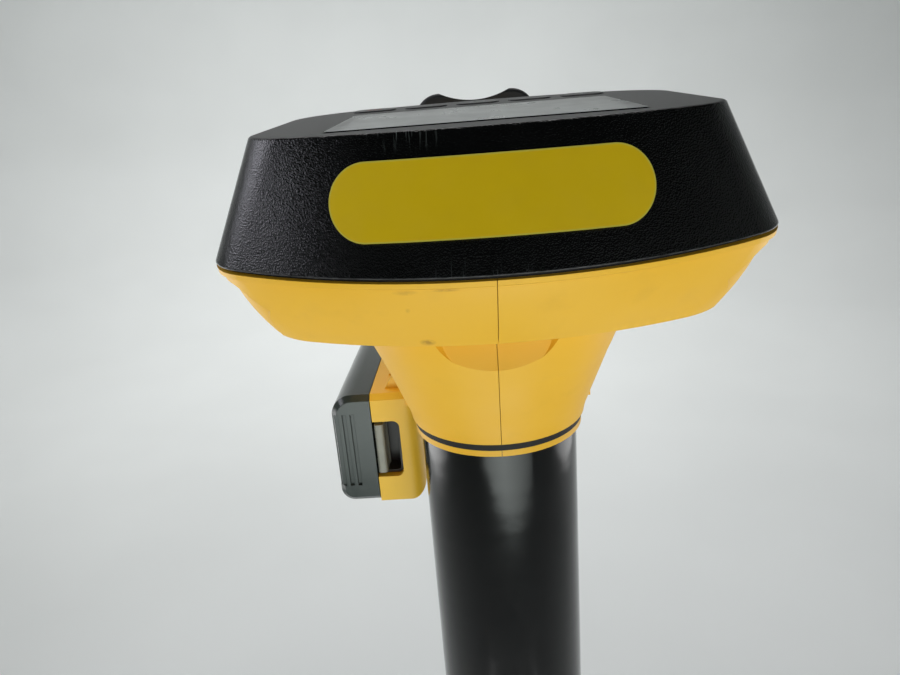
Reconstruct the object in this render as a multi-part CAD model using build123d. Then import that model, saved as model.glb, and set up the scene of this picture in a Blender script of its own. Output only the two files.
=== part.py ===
from build123d import *
import os
from math import cos, radians, sin, sqrt, tan

# A hand-held cable locator: a display head on a round mast that holds the antennas, a grip behind the head,
# and a battery bay beside the top of the mast.
# The origin is the middle of the foot's lower face. +Z runs up the mast, -Y is the front, where the name plate
# is, and +Y is the side of the hand grip. Left and right are as seen from the front. Lengths are millimetres.

# Driving dimensions: rooms between pieces
SLIP = 0.05             # radial room in a fixed fit
RUN = 0.05              # radial room round a turning pin
PLAY = 0.3              # room beside a moving piece
SPLIT_GAP = 0.15        # line between the two housing halves

# Driving dimensions: mast and foot
COLLAR_HEIGHT = 590.0   # foot face to the lower edge of the collar
MAST_RADIUS = 25.0
MAST_WALL = 2.0
MAST_SOCKET = 30.0      # length of mast inside the collar
MAST_STOP = 2.5         # ledge above the mast's end
SLEEVE_WALL = 2.4
FOOT_RADIUS = 42.0
FOOT_TOP_WALL = 2.6     # cup wall round the mast
FOOT_HEIGHT = 60.0
FOOT_SKIRT = 14.0       # height of the foot's straight skirt above the pad
FOOT_FLOOR = 6.0
PAD_THICKNESS = 6.0
PAD_EDGE = 1.5

# Driving dimensions: collar and neck, heights above the collar's lower edge
LIP_HEIGHT = 1.9
BAND_HEIGHT = 2.3
LIP_WALL = 1.6          # lip outside the mast
BAND_DEPTH = 0.7        # groove of the band, below the lip's surface
BAND_PROUD = 0.1
NECK_STEP = 0.9         # neck stands out from the lip above the band
NECK_FLARE_HEIGHT = 25.4
NECK_FLARE = 7.7        # cone's growth in radius
NECK_BEND_RISE = 2.5    # point on the curve out of the band, above it
NECK_BEND_GROWTH = 0.55
NECK_KNEE_RISE = 5.0    # where that curve meets the cone
NECK_KNEE_GROWTH = 1.4
NECK_CROWN = 5.7        # further growth up to the hull
NECK_CROWN_HEIGHT = 40.0
NECK_CROWN_SHORT = 2.6  # growth still to come half way up the crown
NECK_WALL = 2.6
SCOOP_WIDTH = 29.0      # floor of the oval scoop on the front of the neck
SCOOP_HEIGHT = 19.0
SCOOP_RISE = 40.1
SCOOP_DEPTH = 5.9       # below the neck's widest radius
SCOOP_LEAN = 15.0       # degrees, how far the floor faces up
SCOOP_SLOPE = 45.0      # degrees, lean of the scoop's wall

# Driving dimensions: head
HEAD_WIDTH = 132.0      # across the seam
HEAD_FRONT = 68.1       # seam ahead of the mast's axis
HEAD_REAR = 53.0        # seam behind the mast's axis
SEAM_RISE = 71.9        # seam above the collar, on the mast's axis
SEAM_TILT = 8.0         # degrees, rising to the rear
TOP_RISE = 95.6
TOP_TILT = 4.0
SEAM_BOW = 18.7         # bow of the front at the seam, at the roof and at the hull's floor
ROOF_BOW = 11.7
FLOOR_BOW = 14.0
REAR_BOW = 16.0
FRONT_CORNER = 14.0
FLOOR_CORNER = 23.0     # front corners of the hull's floor
REAR_CORNER = 26.0
SIDE_DRAFT = 9.2        # bezel's roof is smaller than its seam
FRONT_DRAFT = 16.6
REAR_DRAFT = 8.0
BEZEL_WALL = 2.6
ROOF = 3.0
ROOF_EDGE = 1.0
SEAM_GAP = 1.0
GASKET_SET_BACK = 1.3
GASKET_WIDTH = 1.5
HULL_DEPTH = 21.5
HULL_WALL = 2.6
HULL_SIDE_DRAW = 4.0    # hull's floor is smaller than its seam
HULL_FRONT_DRAW = 13.3
HULL_REAR_DRAW = 10.0
HULL_SIDE_CURVE = 1.6   # powers of the hull's draw against its depth
HULL_END_CURVE = 1.3
HULL_STATIONS = 6
RIM_HEIGHT = 1.3
RIM_PROUD = 0.7
RECESS_DEPTH = 1.4      # finger recess in the hull's sides, deepest at its upper edge
RECESS_FADE = 0.8       # share of that depth lost at the floor
RECESS_FRONT = 51.0     # recess ahead of the mast's axis and behind it
RECESS_TOE = 41.5       # the same at the floor
RECESS_REAR = 24.0
RECESS_TOP = 4.0        # below the seam
RECESS_KNEE = 11.0
RECESS_ROUND = 2.0

# Driving dimensions: display, board and keys, on the sloping roof
WINDOW_WIDTH = 75.5
WINDOW_LENGTH = 52.5
WINDOW_Y = -12.0
WINDOW_CORNER = 2.0
WINDOW_LEDGE = 2.6
LENS_THICKNESS = 1.6
LENS_ROOM = 0.15
LCD_WIDTH = 76.9
LCD_LENGTH = 60.0
LCD_THICKNESS = 3.4
BOARD_DEPTH = 6.6       # roof's surface to the board
BOARD_THICKNESS = 1.6
BOARD_MARGIN = 9.0      # board's edge inside the roof's edge
BOARD_POST_RADIUS = 2.8
BOARD_POST_X = 42.6
BOARD_POST_Y = (-30.0, 12.0)
BOARD_SCREW_RADIUS = 1.0
BOARD_SCREW_LENGTH = 4.6
BOARD_SCREW_HEAD_RADIUS = 1.9
BOARD_SCREW_HEAD = 1.0
KEY_NAMES = ("key_power", "key_info", "key_enter", "key_minus", "key_plus")
KEY_PITCH = 16.6
KEY_WIDTH = 13.0
KEY_LENGTH = 11.0
KEY_CORNER = 4.0
KEY_Y = 28.5
KEY_PROUD = 0.4
KEY_EDGE = 0.3
KEY_FLANGE = 1.0        # flange outside the key's body
KEY_FLANGE_THICKNESS = 1.2
KEY_TRAVEL = 0.9
DOME_RADIUS = 3.0
DOME_HEIGHT = 0.4
CHIPS = (               # middle x and y, width, length and height of what is soldered under the board
    (-22.0, -22.0, 14.0, 14.0, 1.4),
    (20.0, -24.0, 22.0, 18.0, 2.6),
    (24.0, 4.0, 10.0, 10.0, 3.0),
    (-24.0, 8.0, 8.0, 16.0, 1.2),
)

# Driving dimensions: name plate
PLATE_WIDTH = 69.6
PLATE_HEIGHT = 16.2
PLATE_THICKNESS = 0.6
PLATE_GLUE = 0.1
PLATE_RISE = 78.3

# Driving dimensions: rear block with sockets
BLOCK_HALF = 30.0
BLOCK_REAR = 52.0
BLOCK_BOTTOM = 6.0
BLOCK_TOP = 62.0
BLOCK_EDGE = 7.0
BLOCK_HOLLOW_START = 12.0
BLOCK_WALL = 2.6
SPEAKER_X = -13.0
SPEAKER_RISE = 34.0
SPEAKER_RADIUS = 9.0
SPEAKER_DEPTH = 5.0
SOUND_SLOT_WIDTH = 10.0
SOUND_SLOT_HEIGHT = 1.8
SOUND_SLOT_PITCH = 3.8
SOUND_SLOT_COUNT = 4

# Driving dimensions: handle
HANDLE_WIDTH = 41.0
HANDLE_HEIGHT = 25.0
HANDLE_ROUND = 5.6
HANDLE_WALL = 2.6
HANDLE_ROOT_RISE = 63.0
HANDLE_START = 36.0     # inside the hull
HANDLE_RISE = 86.3
HANDLE_ROOT_END = 58.0  # where the root turns up
HANDLE_RAMP = 28.0
HANDLE_END = 200.0
HANDLE_BEND = 20.0
GRIP_START = 94.0
GRIP_END = 192.0
GRIP_WALL = 4.5
GRIP_EDGE = 2.0
DISH_WIDTH = 29.0       # hollow along the grip's top
DISH_DEPTH = 3.4
END_CAP_THICKNESS = 6.0
END_CAP_PLUG = 10.0
END_CAP_LIP = 1.5

# Driving dimensions: battery bay beside the mast
BAY_RIGHT = 28.0        # bay's inner side, left of the mast's axis
BAY_SPLIT = 45.3        # plane between cradle and cover
BAY_LEFT = 60.2
BAY_FRONT = 22.0
BAY_TOP = 1.1
BAY_WALL = 2.4
BAY_BACK = 3.9          # cradle's wall beside the mast
BAY_SHOULDER = 8.0      # round of the cover's upper outer edge
BAY_EDGE = 5.0
BAY_CORNER = 5.5        # round of the cradle's edges beside the mast
BAY_CHAMFER = 2.0
COVER_GAP = 0.25
RIDGE_COUNT = 3
RIDGE_PITCH = 2.9
RIDGE_WIDTH = 1.4
RIDGE_DEPTH = 1.0
RIDGE_END = 7.0         # ridges stop short of the cover's top and bottom
CELL_RADIUS = 9.2
CELL_LENGTH = 65.2
CELL_BUTTON = 0.8
CELL_BUTTON_RADIUS = 4.6
CELL_ROOM = 0.45
CONTACT_THICKNESS = 0.8
SPRING_LENGTH = 4.0
SPRING_BASE_RADIUS = 4.6
SPRING_TIP_RADIUS = 2.3
CELL_PAD_LENGTH = 43.5
CELL_PAD_ROOM = 0.3
COVER_HINGE_RADIUS = 3.2
COVER_PIN_RADIUS = 1.5
COVER_KNUCKLE = 16.0    # cover's own knuckle
CRADLE_KNUCKLE = 8.0
LATCH_TOP = 10.4        # recess below the bay's top
LATCH_HEIGHT = 22.5
LATCH_WIDTH = 9.7
LATCH_DEPTH = 12.0
LATCH_CORNER = 2.5
CASE_WALL = 1.2         # black case in the recess
CASE_SET_BACK = 3.0
LEVER_THICKNESS = 3.4
LEVER_EDGE = 1.1
LATCH_PIN_RADIUS = 1.0
LATCH_BARREL = 1.9
LATCH_SPRING_HEIGHT = 2.6
LATCH_PIN_SEAT = 1.6    # pin's ends in the cradle
BRACKET_THICKNESS = 3.6
BRACKET_HEIGHT = 36.0

# Driving dimensions: sockets on the rear block
JACK_X = 14.0
JACK_RISE = 32.0
JACK_BORE = 3.3
JACK_BORE_DEPTH = 16.0
JACK_BARREL = 5.2
JACK_FLANGE = 7.4
JACK_FLANGE_THICKNESS = 2.0
PORT_X = 14.0
PORT_RISE = 16.6
PORT_WIDTH = 9.4
PORT_HEIGHT = 3.8
PORT_DEPTH = 9.0
PORT_SHELL = 0.5
PORT_TONGUE = 0.7
PORT_TONGUE_WIDTH = 6.4
PORT_TONGUE_SET_BACK = 1.0
FLAP_WIDTH = 18.0
FLAP_HEIGHT = 10.0
FLAP_THICKNESS = 2.2
FLAP_BARREL = 1.4
FLAP_PIN_RADIUS = 0.8
FLAP_EAR = 1.6

# Driving dimensions: antenna in the mast
SPINE_WIDTH = 10.0
SPINE_DEPTH = 14.0
SPACER_THICKNESS = 8.0
SPACER_HEIGHTS = (160.0, 340.0, 520.0)
FERRITE_RADIUS = 4.0
FERRITE_LENGTH = 38.0
WINDING_RADIUS = 7.5
WINDING_LENGTH = 13.0
LOWER_ANTENNA = 72.0
UPPER_ANTENNA = 472.0
NULL_COIL_HEIGHT = 112.0
NULL_COIL_RADIUS = 16.0
NULL_COIL_LENGTH = 16.0
HARNESS_RADIUS = 1.8
HARNESS_BEND = 14.0
HARNESS_SHIFT = 12.0

# Driving dimensions: screws
SCREW_RADIUS = 1.5
SCREW_HEAD_RADIUS = 2.9
SCREW_HEAD = 2.2
SCREW_BOSS = 4.2
SCREW_DRIVE = 1.0       # width of the cross recess
SCREW_DRIVE_LENGTH = 3.4
SCREW_DRIVE_DEPTH = 1.2
SCREW_ROOM = 0.2        # round a screw's shank or head in its hole
BEZEL_POST_X = 52.0
BEZEL_POST_Y = (-30.0, 18.0)
BEZEL_POST_RADIUS = 4.0
BEZEL_SCREW_SEAT = 4.0  # head's seat below the seam
BEZEL_SCREW_BITE = 9.0  # thread in the bezel's post
HANDLE_SCREW_Y = (116.0, 172.0)
HANDLE_SCREW_SEAT = 9.0
HANDLE_SCREW_BITE = 8.0
ROOT_SCREW_Y = 72.0
BRACKET_SCREW_RISE = (13.0, 29.0)
BRACKET_SCREW_BITE = 9.0
FOOT_SCREW_COUNT = 3
FOOT_SCREW_CIRCLE = 26.0
FOOT_SCREW_BITE = 4.5
FOOT_SCREW_SINK = 1.0   # heads above the floor

# Sizes worked out from the driving dimensions
MAST_BORE = MAST_RADIUS - MAST_WALL
MAST_TOP = COLLAR_HEIGHT + MAST_SOCKET
LIP_RADIUS = MAST_RADIUS + LIP_WALL
NECK_BASE = LIP_HEIGHT + BAND_HEIGHT
NECK_RADIUS = LIP_RADIUS + NECK_STEP
CONE_RADIUS = NECK_RADIUS + NECK_FLARE
CROWN_RADIUS = CONE_RADIUS + NECK_CROWN
SEAM_HEIGHT = COLLAR_HEIGHT + SEAM_RISE
TOP_HEIGHT = COLLAR_HEIGHT + TOP_RISE
SEAM_HALF = HEAD_WIDTH / 2
FLOOR_HALF = SEAM_HALF - HULL_SIDE_DRAW
ROOF_HALF = SEAM_HALF - SIDE_DRAFT
ROOF_FRONT = HEAD_FRONT - FRONT_DRAFT
ROOF_REAR = HEAD_REAR - REAR_DRAFT
HULL_BOTTOM = SEAM_GAP / 2 + HULL_DEPTH
SLEEVE_RADIUS = MAST_RADIUS + SLIP + SLEEVE_WALL
BAY_HEIGHT = 4 * CELL_RADIUS + 3 * CELL_ROOM + 2 * BAY_WALL
BAY_LENGTH = LATCH_DEPTH + 2 * BAY_WALL + SPRING_LENGTH + CELL_LENGTH + CONTACT_THICKNESS
BAY_REAR = BAY_FRONT + BAY_LENGTH
BRACKET_FRONT = sqrt(CROWN_RADIUS**2 - BLOCK_HALF**2) + PLAY
BRACKET_REAR = BLOCK_REAR - BLOCK_EDGE
BAY_BOTTOM = BAY_TOP - BAY_HEIGHT
BAY_MIDDLE = BAY_TOP - BAY_HEIGHT / 2
CELL_WALL_FRONT = BAY_FRONT + LATCH_DEPTH + BAY_WALL
CELL_X = -(BAY_RIGHT + BAY_BACK + CELL_ROOM + CELL_RADIUS)
CELL_FRONT = CELL_WALL_FRONT + SPRING_LENGTH
CELL_Z = CELL_RADIUS + CELL_ROOM / 2
COVER_HINGE_X = -BAY_SPLIT
COVER_HINGE_Y = BAY_REAR + COVER_HINGE_RADIUS + PLAY
LATCH_PIN_X = -(BAY_SPLIT - COVER_GAP - LATCH_BARREL)
LATCH_PIN_Y = BAY_FRONT + LATCH_DEPTH - CASE_WALL - LATCH_BARREL - PLAY
LATCH_Z = BAY_TOP - LATCH_TOP - LATCH_HEIGHT / 2
LATCH_REACH = LATCH_HEIGHT / 2 - CASE_WALL
FLAP_PIN_Y = BLOCK_REAR + PLAY / 2 + FLAP_BARREL
FLAP_PIN_RISE = PORT_RISE - FLAP_HEIGHT / 2 - FLAP_BARREL
DISH_RADIUS = (DISH_WIDTH**2 / 4 + DISH_DEPTH**2) / (2 * DISH_DEPTH)
DOME_DEPTH = BOARD_DEPTH - DOME_HEIGHT
PLATE_FRONT = HEAD_FRONT + FRONT_DRAFT
FAR = 400.0             # longer than any piece, for cutting blocks


def span(x, y, z):
    """Box between three pairs of limits, with z counted from the collar's lower edge."""
    box = Box(x[1] - x[0], y[1] - y[0], z[1] - z[0])
    return Pos((x[0] + x[1]) / 2, (y[0] + y[1]) / 2, COLLAR_HEIGHT + (z[0] + z[1]) / 2) * box


def rod(start, direction, radius, length):
    """Cylinder from a start point along a direction."""
    cylinder = Cylinder(radius, length, align=(Align.CENTER, Align.CENTER, Align.MIN))
    return Plane(origin=start, z_dir=direction) * cylinder


def tilted(height, tilt, lift):
    """Plane across the mast at a height on its axis, rising to the rear, moved along its own normal by lift."""
    normal = Vector(0, -sin(radians(tilt)), cos(radians(tilt)))
    return Plane(origin=Vector(0, 0, height) + normal * lift, x_dir=(1, 0, 0), z_dir=normal)


def seam_plane(lift=0.0):
    return tilted(SEAM_HEIGHT, SEAM_TILT, lift)


def roof_plane(lift=0.0):
    return tilted(TOP_HEIGHT, TOP_TILT, lift)


def outline(half_width, front, rear, bow, corner, grow):
    """Plan of the head: a bowed front and rear, straight sides and round corners, grown outwards by grow."""
    half = half_width + grow
    front_mid = -(front + grow)
    rear_mid = rear + grow
    front_end = front_mid + bow
    rear_end = rear_mid - REAR_BOW
    edges = [
        ThreePointArc((-half, front_end), (0, front_mid), (half, front_end)),
        Line((half, front_end), (half, rear_end)),
        ThreePointArc((half, rear_end), (0, rear_mid), (-half, rear_end)),
        Line((-half, rear_end), (-half, front_end)),
    ]
    face = make_face(edges)
    face = fillet(face.vertices().sort_by(Axis.Y)[:2], corner + grow)
    return fillet(face.vertices().sort_by(Axis.Y)[-2:], REAR_CORNER + grow)


def seam_outline(grow=0.0):
    return outline(SEAM_HALF, HEAD_FRONT, HEAD_REAR, SEAM_BOW, FRONT_CORNER, grow)


def roof_outline(grow=0.0):
    return outline(ROOF_HALF, ROOF_FRONT, ROOF_REAR, ROOF_BOW, FRONT_CORNER, grow)


def bezel_block(grow=0.0, sink=0.0):
    """Solid of the bezel from the seam to the roof, grown by grow, with its roof lowered by sink."""
    low = seam_plane(SEAM_GAP / 2) * seam_outline(grow)
    high = roof_plane(-sink) * roof_outline(grow)
    return loft([low, high], ruled=True)


def hull_outline(depth, grow):
    """The hull's plan at a depth below the seam: it draws in slowly under the rim and fast near the floor."""
    share = depth / HULL_DEPTH
    side = SEAM_HALF - HULL_SIDE_DRAW * share**HULL_SIDE_CURVE
    front = HEAD_FRONT - HULL_FRONT_DRAW * share**HULL_END_CURVE
    rear = HEAD_REAR - HULL_REAR_DRAW * share**HULL_END_CURVE
    bow = SEAM_BOW + (FLOOR_BOW - SEAM_BOW) * share
    corner = FRONT_CORNER + (FLOOR_CORNER - FRONT_CORNER) * share
    return outline(side, front, rear, bow, corner, grow)


def hull_block(grow, depth):
    """Solid of the hull from the seam down to a depth, grown by grow."""
    sections = []
    for station in range(HULL_STATIONS):
        below = depth * station / (HULL_STATIONS - 1)
        sections.append(seam_plane(-SEAM_GAP / 2 - below) * hull_outline(below, grow))
    return loft(sections)


def neck_solid(inset):
    """Solid of revolution of the neck above the band, drawn in by inset."""
    base = NECK_RADIUS - inset
    cone = CONE_RADIUS - inset
    crown = CROWN_RADIUS - inset
    low = COLLAR_HEIGHT + NECK_BASE
    high = COLLAR_HEIGHT + NECK_FLARE_HEIGHT
    top = COLLAR_HEIGHT + NECK_CROWN_HEIGHT
    peak = COLLAR_HEIGHT + SEAM_RISE - HULL_DEPTH / 2
    knee = (base + NECK_KNEE_GROWTH, low + NECK_KNEE_RISE)
    bend = (base + NECK_BEND_GROWTH, low + NECK_BEND_RISE)
    edges = [
        Line((0, low), (base, low)),
        ThreePointArc((base, low), bend, knee),
        Line(knee, (cone, high)),
        ThreePointArc((cone, high), (crown - NECK_CROWN_SHORT, (high + top) / 2), (crown, top)),
        Line((crown, top), (crown, peak)),
        Line((crown, peak), (0, peak)),
        Line((0, peak), (0, low)),
    ]
    return revolve(Plane.XZ * make_face(edges), Axis.Z)


def handle_bar(grow, end):
    """Bar of the handle: a root behind the hull, a ramp, and a straight length up to end."""
    root = COLLAR_HEIGHT + HANDLE_ROOT_RISE
    high = COLLAR_HEIGHT + HANDLE_RISE
    start = (0, HANDLE_START, root)
    foot = (0, HANDLE_ROOT_END, root)
    crest = (0, HANDLE_ROOT_END + HANDLE_RAMP, high)
    path = FilletPolyline(start, foot, crest, (0, end, high), radius=HANDLE_BEND)
    return sweep(Plane(origin=start, x_dir=(-1, 0, 0), z_dir=(0, 1, 0)) * handle_section(grow), path=path)


def rear_block(inset):
    """Rounded block behind the neck that carries the sockets and the battery bay."""
    half = BLOCK_HALF - inset
    box = span((-half, half), (0, BLOCK_REAR - inset), (BLOCK_BOTTOM + inset, BLOCK_TOP - inset))
    rear_edges = box.edges().filter_by(Axis.Z).sort_by(Axis.Y)[-2:]
    return fillet(rear_edges, BLOCK_EDGE - inset)


def recess_core(grow):
    """Form left inside the recesses: it leans less than the hull, so they are shallow at the floor."""
    sections = []
    for station in range(HULL_STATIONS):
        below = (HULL_DEPTH + HULL_WALL) * station / (HULL_STATIONS - 1)
        inset = RIM_PROUD + RECESS_DEPTH * (1 - RECESS_FADE * below / HULL_DEPTH)
        sections.append(seam_plane(-SEAM_GAP / 2 - below) * hull_outline(below, -inset - grow))
    return loft(sections)


def side_recess(side, grow):
    """Finger recess in one side of the hull, open at the floor, grown inwards by grow."""
    low = -HULL_BOTTOM - HULL_WALL
    knee = -RECESS_KNEE - grow
    toe = RECESS_TOE - (RECESS_FRONT - RECESS_TOE) * HULL_WALL / (HULL_DEPTH - RECESS_KNEE)
    top = -RECESS_TOP + grow
    edges = Polyline((-RECESS_FRONT - grow, top), (-RECESS_FRONT - grow, knee), (-toe - grow, low),
                     (RECESS_REAR + grow, low), (RECESS_REAR + grow, top), close=True)
    side_view = make_face(edges)
    side_view = fillet(side_view.vertices().group_by(Axis.Y)[-1], RECESS_ROUND)
    inner = side * (CROWN_RADIUS + FLOOR_HALF) / 2
    prism = seam_plane() * Pos(inner, 0, 0) * extrude(Plane.YZ * side_view, side * FAR)
    return prism - recess_core(grow)


def screw(length):
    """Cross-head screw standing on its head's seat, with the shank down along -Z."""
    body = rod((0, 0, 0), (0, 0, 1), SCREW_HEAD_RADIUS, SCREW_HEAD)
    body += rod((0, 0, 0), (0, 0, -1), SCREW_RADIUS, length)
    for width, depth in ((SCREW_DRIVE_LENGTH, SCREW_DRIVE), (SCREW_DRIVE, SCREW_DRIVE_LENGTH)):
        slot = Box(width, depth, SCREW_DRIVE_DEPTH, align=(Align.CENTER, Align.CENTER, Align.MAX))
        body -= Pos(0, 0, SCREW_HEAD) * slot
    return body


def scoop_cut(grow):
    """Oval scoop under the hull's front edge, grown by grow: its floor leans and runs out below."""
    middle = Vector(0, -(CROWN_RADIUS - SCOOP_DEPTH - grow), COLLAR_HEIGHT + SCOOP_RISE)
    facing = Vector(0, -cos(radians(SCOOP_LEAN)), sin(radians(SCOOP_LEAN)))
    sections = []
    for reach in (0, CROWN_RADIUS):
        spread = 2 * (grow + reach * tan(radians(SCOOP_SLOPE)))
        plane = Plane(origin=middle + facing * reach, x_dir=(1, 0, 0), z_dir=facing)
        sections.append(plane * SlotOverall(SCOOP_WIDTH + spread, SCOOP_HEIGHT + spread))
    return loft(sections, ruled=True)


def bezel_screw_spots():
    return [(side * BEZEL_POST_X, y) for side in (-1, 1) for y in BEZEL_POST_Y]


def handle_screw_spots():
    """Places of the screws across the handle, with the root's one on the middle of the ramp."""
    ramp = (ROOT_SCREW_Y - HANDLE_ROOT_END) / HANDLE_RAMP
    rise = HANDLE_ROOT_RISE + (HANDLE_RISE - HANDLE_ROOT_RISE) * ramp
    return [(ROOT_SCREW_Y, rise)] + [(y, HANDLE_RISE) for y in HANDLE_SCREW_Y]


def bracket_screw_spots():
    y = (BRACKET_FRONT + BRACKET_REAR) / 2
    return [(y, rise) for rise in BRACKET_SCREW_RISE]


def housing_outside():
    """Outer form of the yellow body: collar, neck with its scoop, hull with its rim, rear block and handle."""
    body = neck_solid(0) - scoop_cut(0)
    body += rod((0, 0, COLLAR_HEIGHT), (0, 0, 1), LIP_RADIUS, NECK_BASE)
    body += rear_block(0)
    body += hull_block(-RIM_PROUD, HULL_DEPTH)
    rim = [seam_plane(-SEAM_GAP / 2 - below) * hull_outline(below, 0) for below in (0, RIM_HEIGHT)]
    body += loft(rim, ruled=True)
    body += handle_bar(0, HANDLE_END)
    for side in (-1, 1):
        body -= side_recess(side, 0)
    return body


def housing_inside():
    """Hollow of the yellow body, round the sleeve that holds the mast."""
    hollow = neck_solid(NECK_WALL) - scoop_cut(NECK_WALL)
    hollow += rear_block(BLOCK_WALL) - span((-FAR, FAR), (-FAR, BLOCK_HOLLOW_START), (-FAR, FAR))
    hollow -= rod((0, 0, COLLAR_HEIGHT), (0, 0, 1), SLEEVE_RADIUS, MAST_SOCKET + MAST_STOP)
    hull = hull_block(-RIM_PROUD - HULL_WALL, HULL_DEPTH - HULL_WALL)
    for side in (-1, 1):
        hull -= side_recess(side, HULL_WALL)
    hollow += hull
    hollow += handle_bar(-HANDLE_WALL, HANDLE_END)
    hollow += rod((0, 0, COLLAR_HEIGHT), (0, 0, 1), MAST_RADIUS + SLIP, MAST_SOCKET)
    hollow += rod((0, 0, MAST_TOP), (0, 0, 1), MAST_BORE, MAST_STOP)
    return hollow


def housing():
    """The whole yellow body before it is split along its middle plane."""
    outside = housing_outside()
    body = outside - housing_inside()
    ring = rod((0, 0, COLLAR_HEIGHT + LIP_HEIGHT), (0, 0, 1), FAR, BAND_HEIGHT)
    body -= ring - rod((0, 0, COLLAR_HEIGHT), (0, 0, 1), LIP_RADIUS - BAND_DEPTH, MAST_SOCKET)
    bosses = []
    cuts = []
    hole = SCREW_RADIUS + SCREW_ROOM
    head = SCREW_HEAD_RADIUS + SCREW_ROOM
    for x, y in bezel_screw_spots():
        up = Vector(0, -sin(radians(SEAM_TILT)), cos(radians(SEAM_TILT)))
        foot = (seam_plane(-HULL_BOTTOM) * Pos(x, y, 0)).position
        bosses.append(rod(foot, up, SCREW_BOSS, HULL_DEPTH))
        cuts.append(rod(foot, up, hole, HULL_DEPTH))
        cuts.append(rod(foot, up, head, HULL_DEPTH - BEZEL_SCREW_SEAT))
    for y, rise in handle_screw_spots():
        z = COLLAR_HEIGHT + rise
        bosses.append(rod((-HANDLE_WIDTH / 2, y, z), (1, 0, 0), SCREW_BOSS, HANDLE_WIDTH))
        cuts.append(rod((HANDLE_SCREW_SEAT, y, z), (1, 0, 0), head, HANDLE_WIDTH))
        cuts.append(rod((0, y, z), (1, 0, 0), hole, HANDLE_WIDTH))
        cuts.append(rod((0, y, z), (-1, 0, 0), SCREW_RADIUS + SLIP, HANDLE_SCREW_BITE + PLAY))
    for y, rise in bracket_screw_spots():
        start = (-BLOCK_HALF, y, COLLAR_HEIGHT + rise)
        bosses.append(rod(start, (1, 0, 0), SCREW_BOSS, BRACKET_SCREW_BITE + BLOCK_WALL))
        cuts.append(rod(start, (1, 0, 0), SCREW_RADIUS + SLIP, BRACKET_SCREW_BITE + PLAY))
    for boss in bosses:
        body += boss & outside
    for cut in cuts:
        body -= cut
    return body


def left_housing(body):
    """Left half, with the sound slots of the speaker in its rear face."""
    half = body & span((-FAR, -SPLIT_GAP / 2), (-FAR, FAR), (-FAR, FAR))
    first = -(SOUND_SLOT_COUNT - 1) / 2
    for number in range(SOUND_SLOT_COUNT):
        rise = SPEAKER_RISE + (first + number) * SOUND_SLOT_PITCH
        plane = Plane(origin=(SPEAKER_X, BLOCK_REAR, COLLAR_HEIGHT + rise), x_dir=(-1, 0, 0), z_dir=(0, 1, 0))
        half -= extrude(plane * SlotOverall(SOUND_SLOT_WIDTH, SOUND_SLOT_HEIGHT), -BLOCK_WALL - PLAY)
    return half


def right_housing(body):
    """Right half, with the holes of the sockets and the ears of the port's flap."""
    half = body & span((SPLIT_GAP / 2, FAR), (-FAR, FAR), (-FAR, FAR))
    for end in (-1, 1):
        x = PORT_X + end * (FLAP_WIDTH / 2 + PLAY)
        low = FLAP_PIN_RISE - FLAP_BARREL
        ear = span(sorted((x, x + end * FLAP_EAR)), (BLOCK_REAR - BLOCK_WALL / 2, FLAP_PIN_Y + FLAP_BARREL),
                   (low, low + 2 * FLAP_BARREL))
        half += ear
    pin_start = (PORT_X - FLAP_WIDTH, FLAP_PIN_Y, COLLAR_HEIGHT + FLAP_PIN_RISE)
    half -= rod(pin_start, (1, 0, 0), FLAP_PIN_RADIUS + SLIP, 2 * FLAP_WIDTH)
    wall_start = BLOCK_REAR - BLOCK_WALL - PLAY
    half -= rod((JACK_X, wall_start, COLLAR_HEIGHT + JACK_RISE), (0, 1, 0), JACK_BARREL + SLIP, 2 * BLOCK_WALL)
    half -= extrude(port_plane(wall_start) * port_outline(SLIP), 2 * BLOCK_WALL)
    return half


def port_plane(y):
    """Upright plane at a depth on the port's axis, facing the rear."""
    return Plane(origin=(PORT_X, y, COLLAR_HEIGHT + PORT_RISE), x_dir=(-1, 0, 0), z_dir=(0, 1, 0))


def port_outline(grow):
    return SlotOverall(PORT_WIDTH + 2 * grow, PORT_HEIGHT + 2 * grow)


def charge_port():
    """Flat-oval charging port with its tongue."""
    start = BLOCK_REAR - PORT_DEPTH
    shell = extrude(port_plane(start) * port_outline(0), PORT_DEPTH)
    shell -= extrude(port_plane(start + PORT_SHELL) * port_outline(-PORT_SHELL), PORT_DEPTH)
    half = PORT_TONGUE_WIDTH / 2
    flat = PORT_TONGUE / 2
    return shell + span((PORT_X - half, PORT_X + half), (start, BLOCK_REAR - PORT_TONGUE_SET_BACK),
                        (PORT_RISE - flat, PORT_RISE + flat))


def accessory_jack():
    """Round jack with a flange on the rear block and a blind bore for the plug."""
    z = COLLAR_HEIGHT + JACK_RISE
    face = BLOCK_REAR + JACK_FLANGE_THICKNESS
    start = face - JACK_BORE_DEPTH - BLOCK_WALL
    body = rod((JACK_X, start, z), (0, 1, 0), JACK_BARREL, face - start)
    body += rod((JACK_X, BLOCK_REAR, z), (0, 1, 0), JACK_FLANGE, JACK_FLANGE_THICKNESS)
    return body - rod((JACK_X, face - JACK_BORE_DEPTH, z), (0, 1, 0), JACK_BORE, JACK_BORE_DEPTH)


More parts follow.
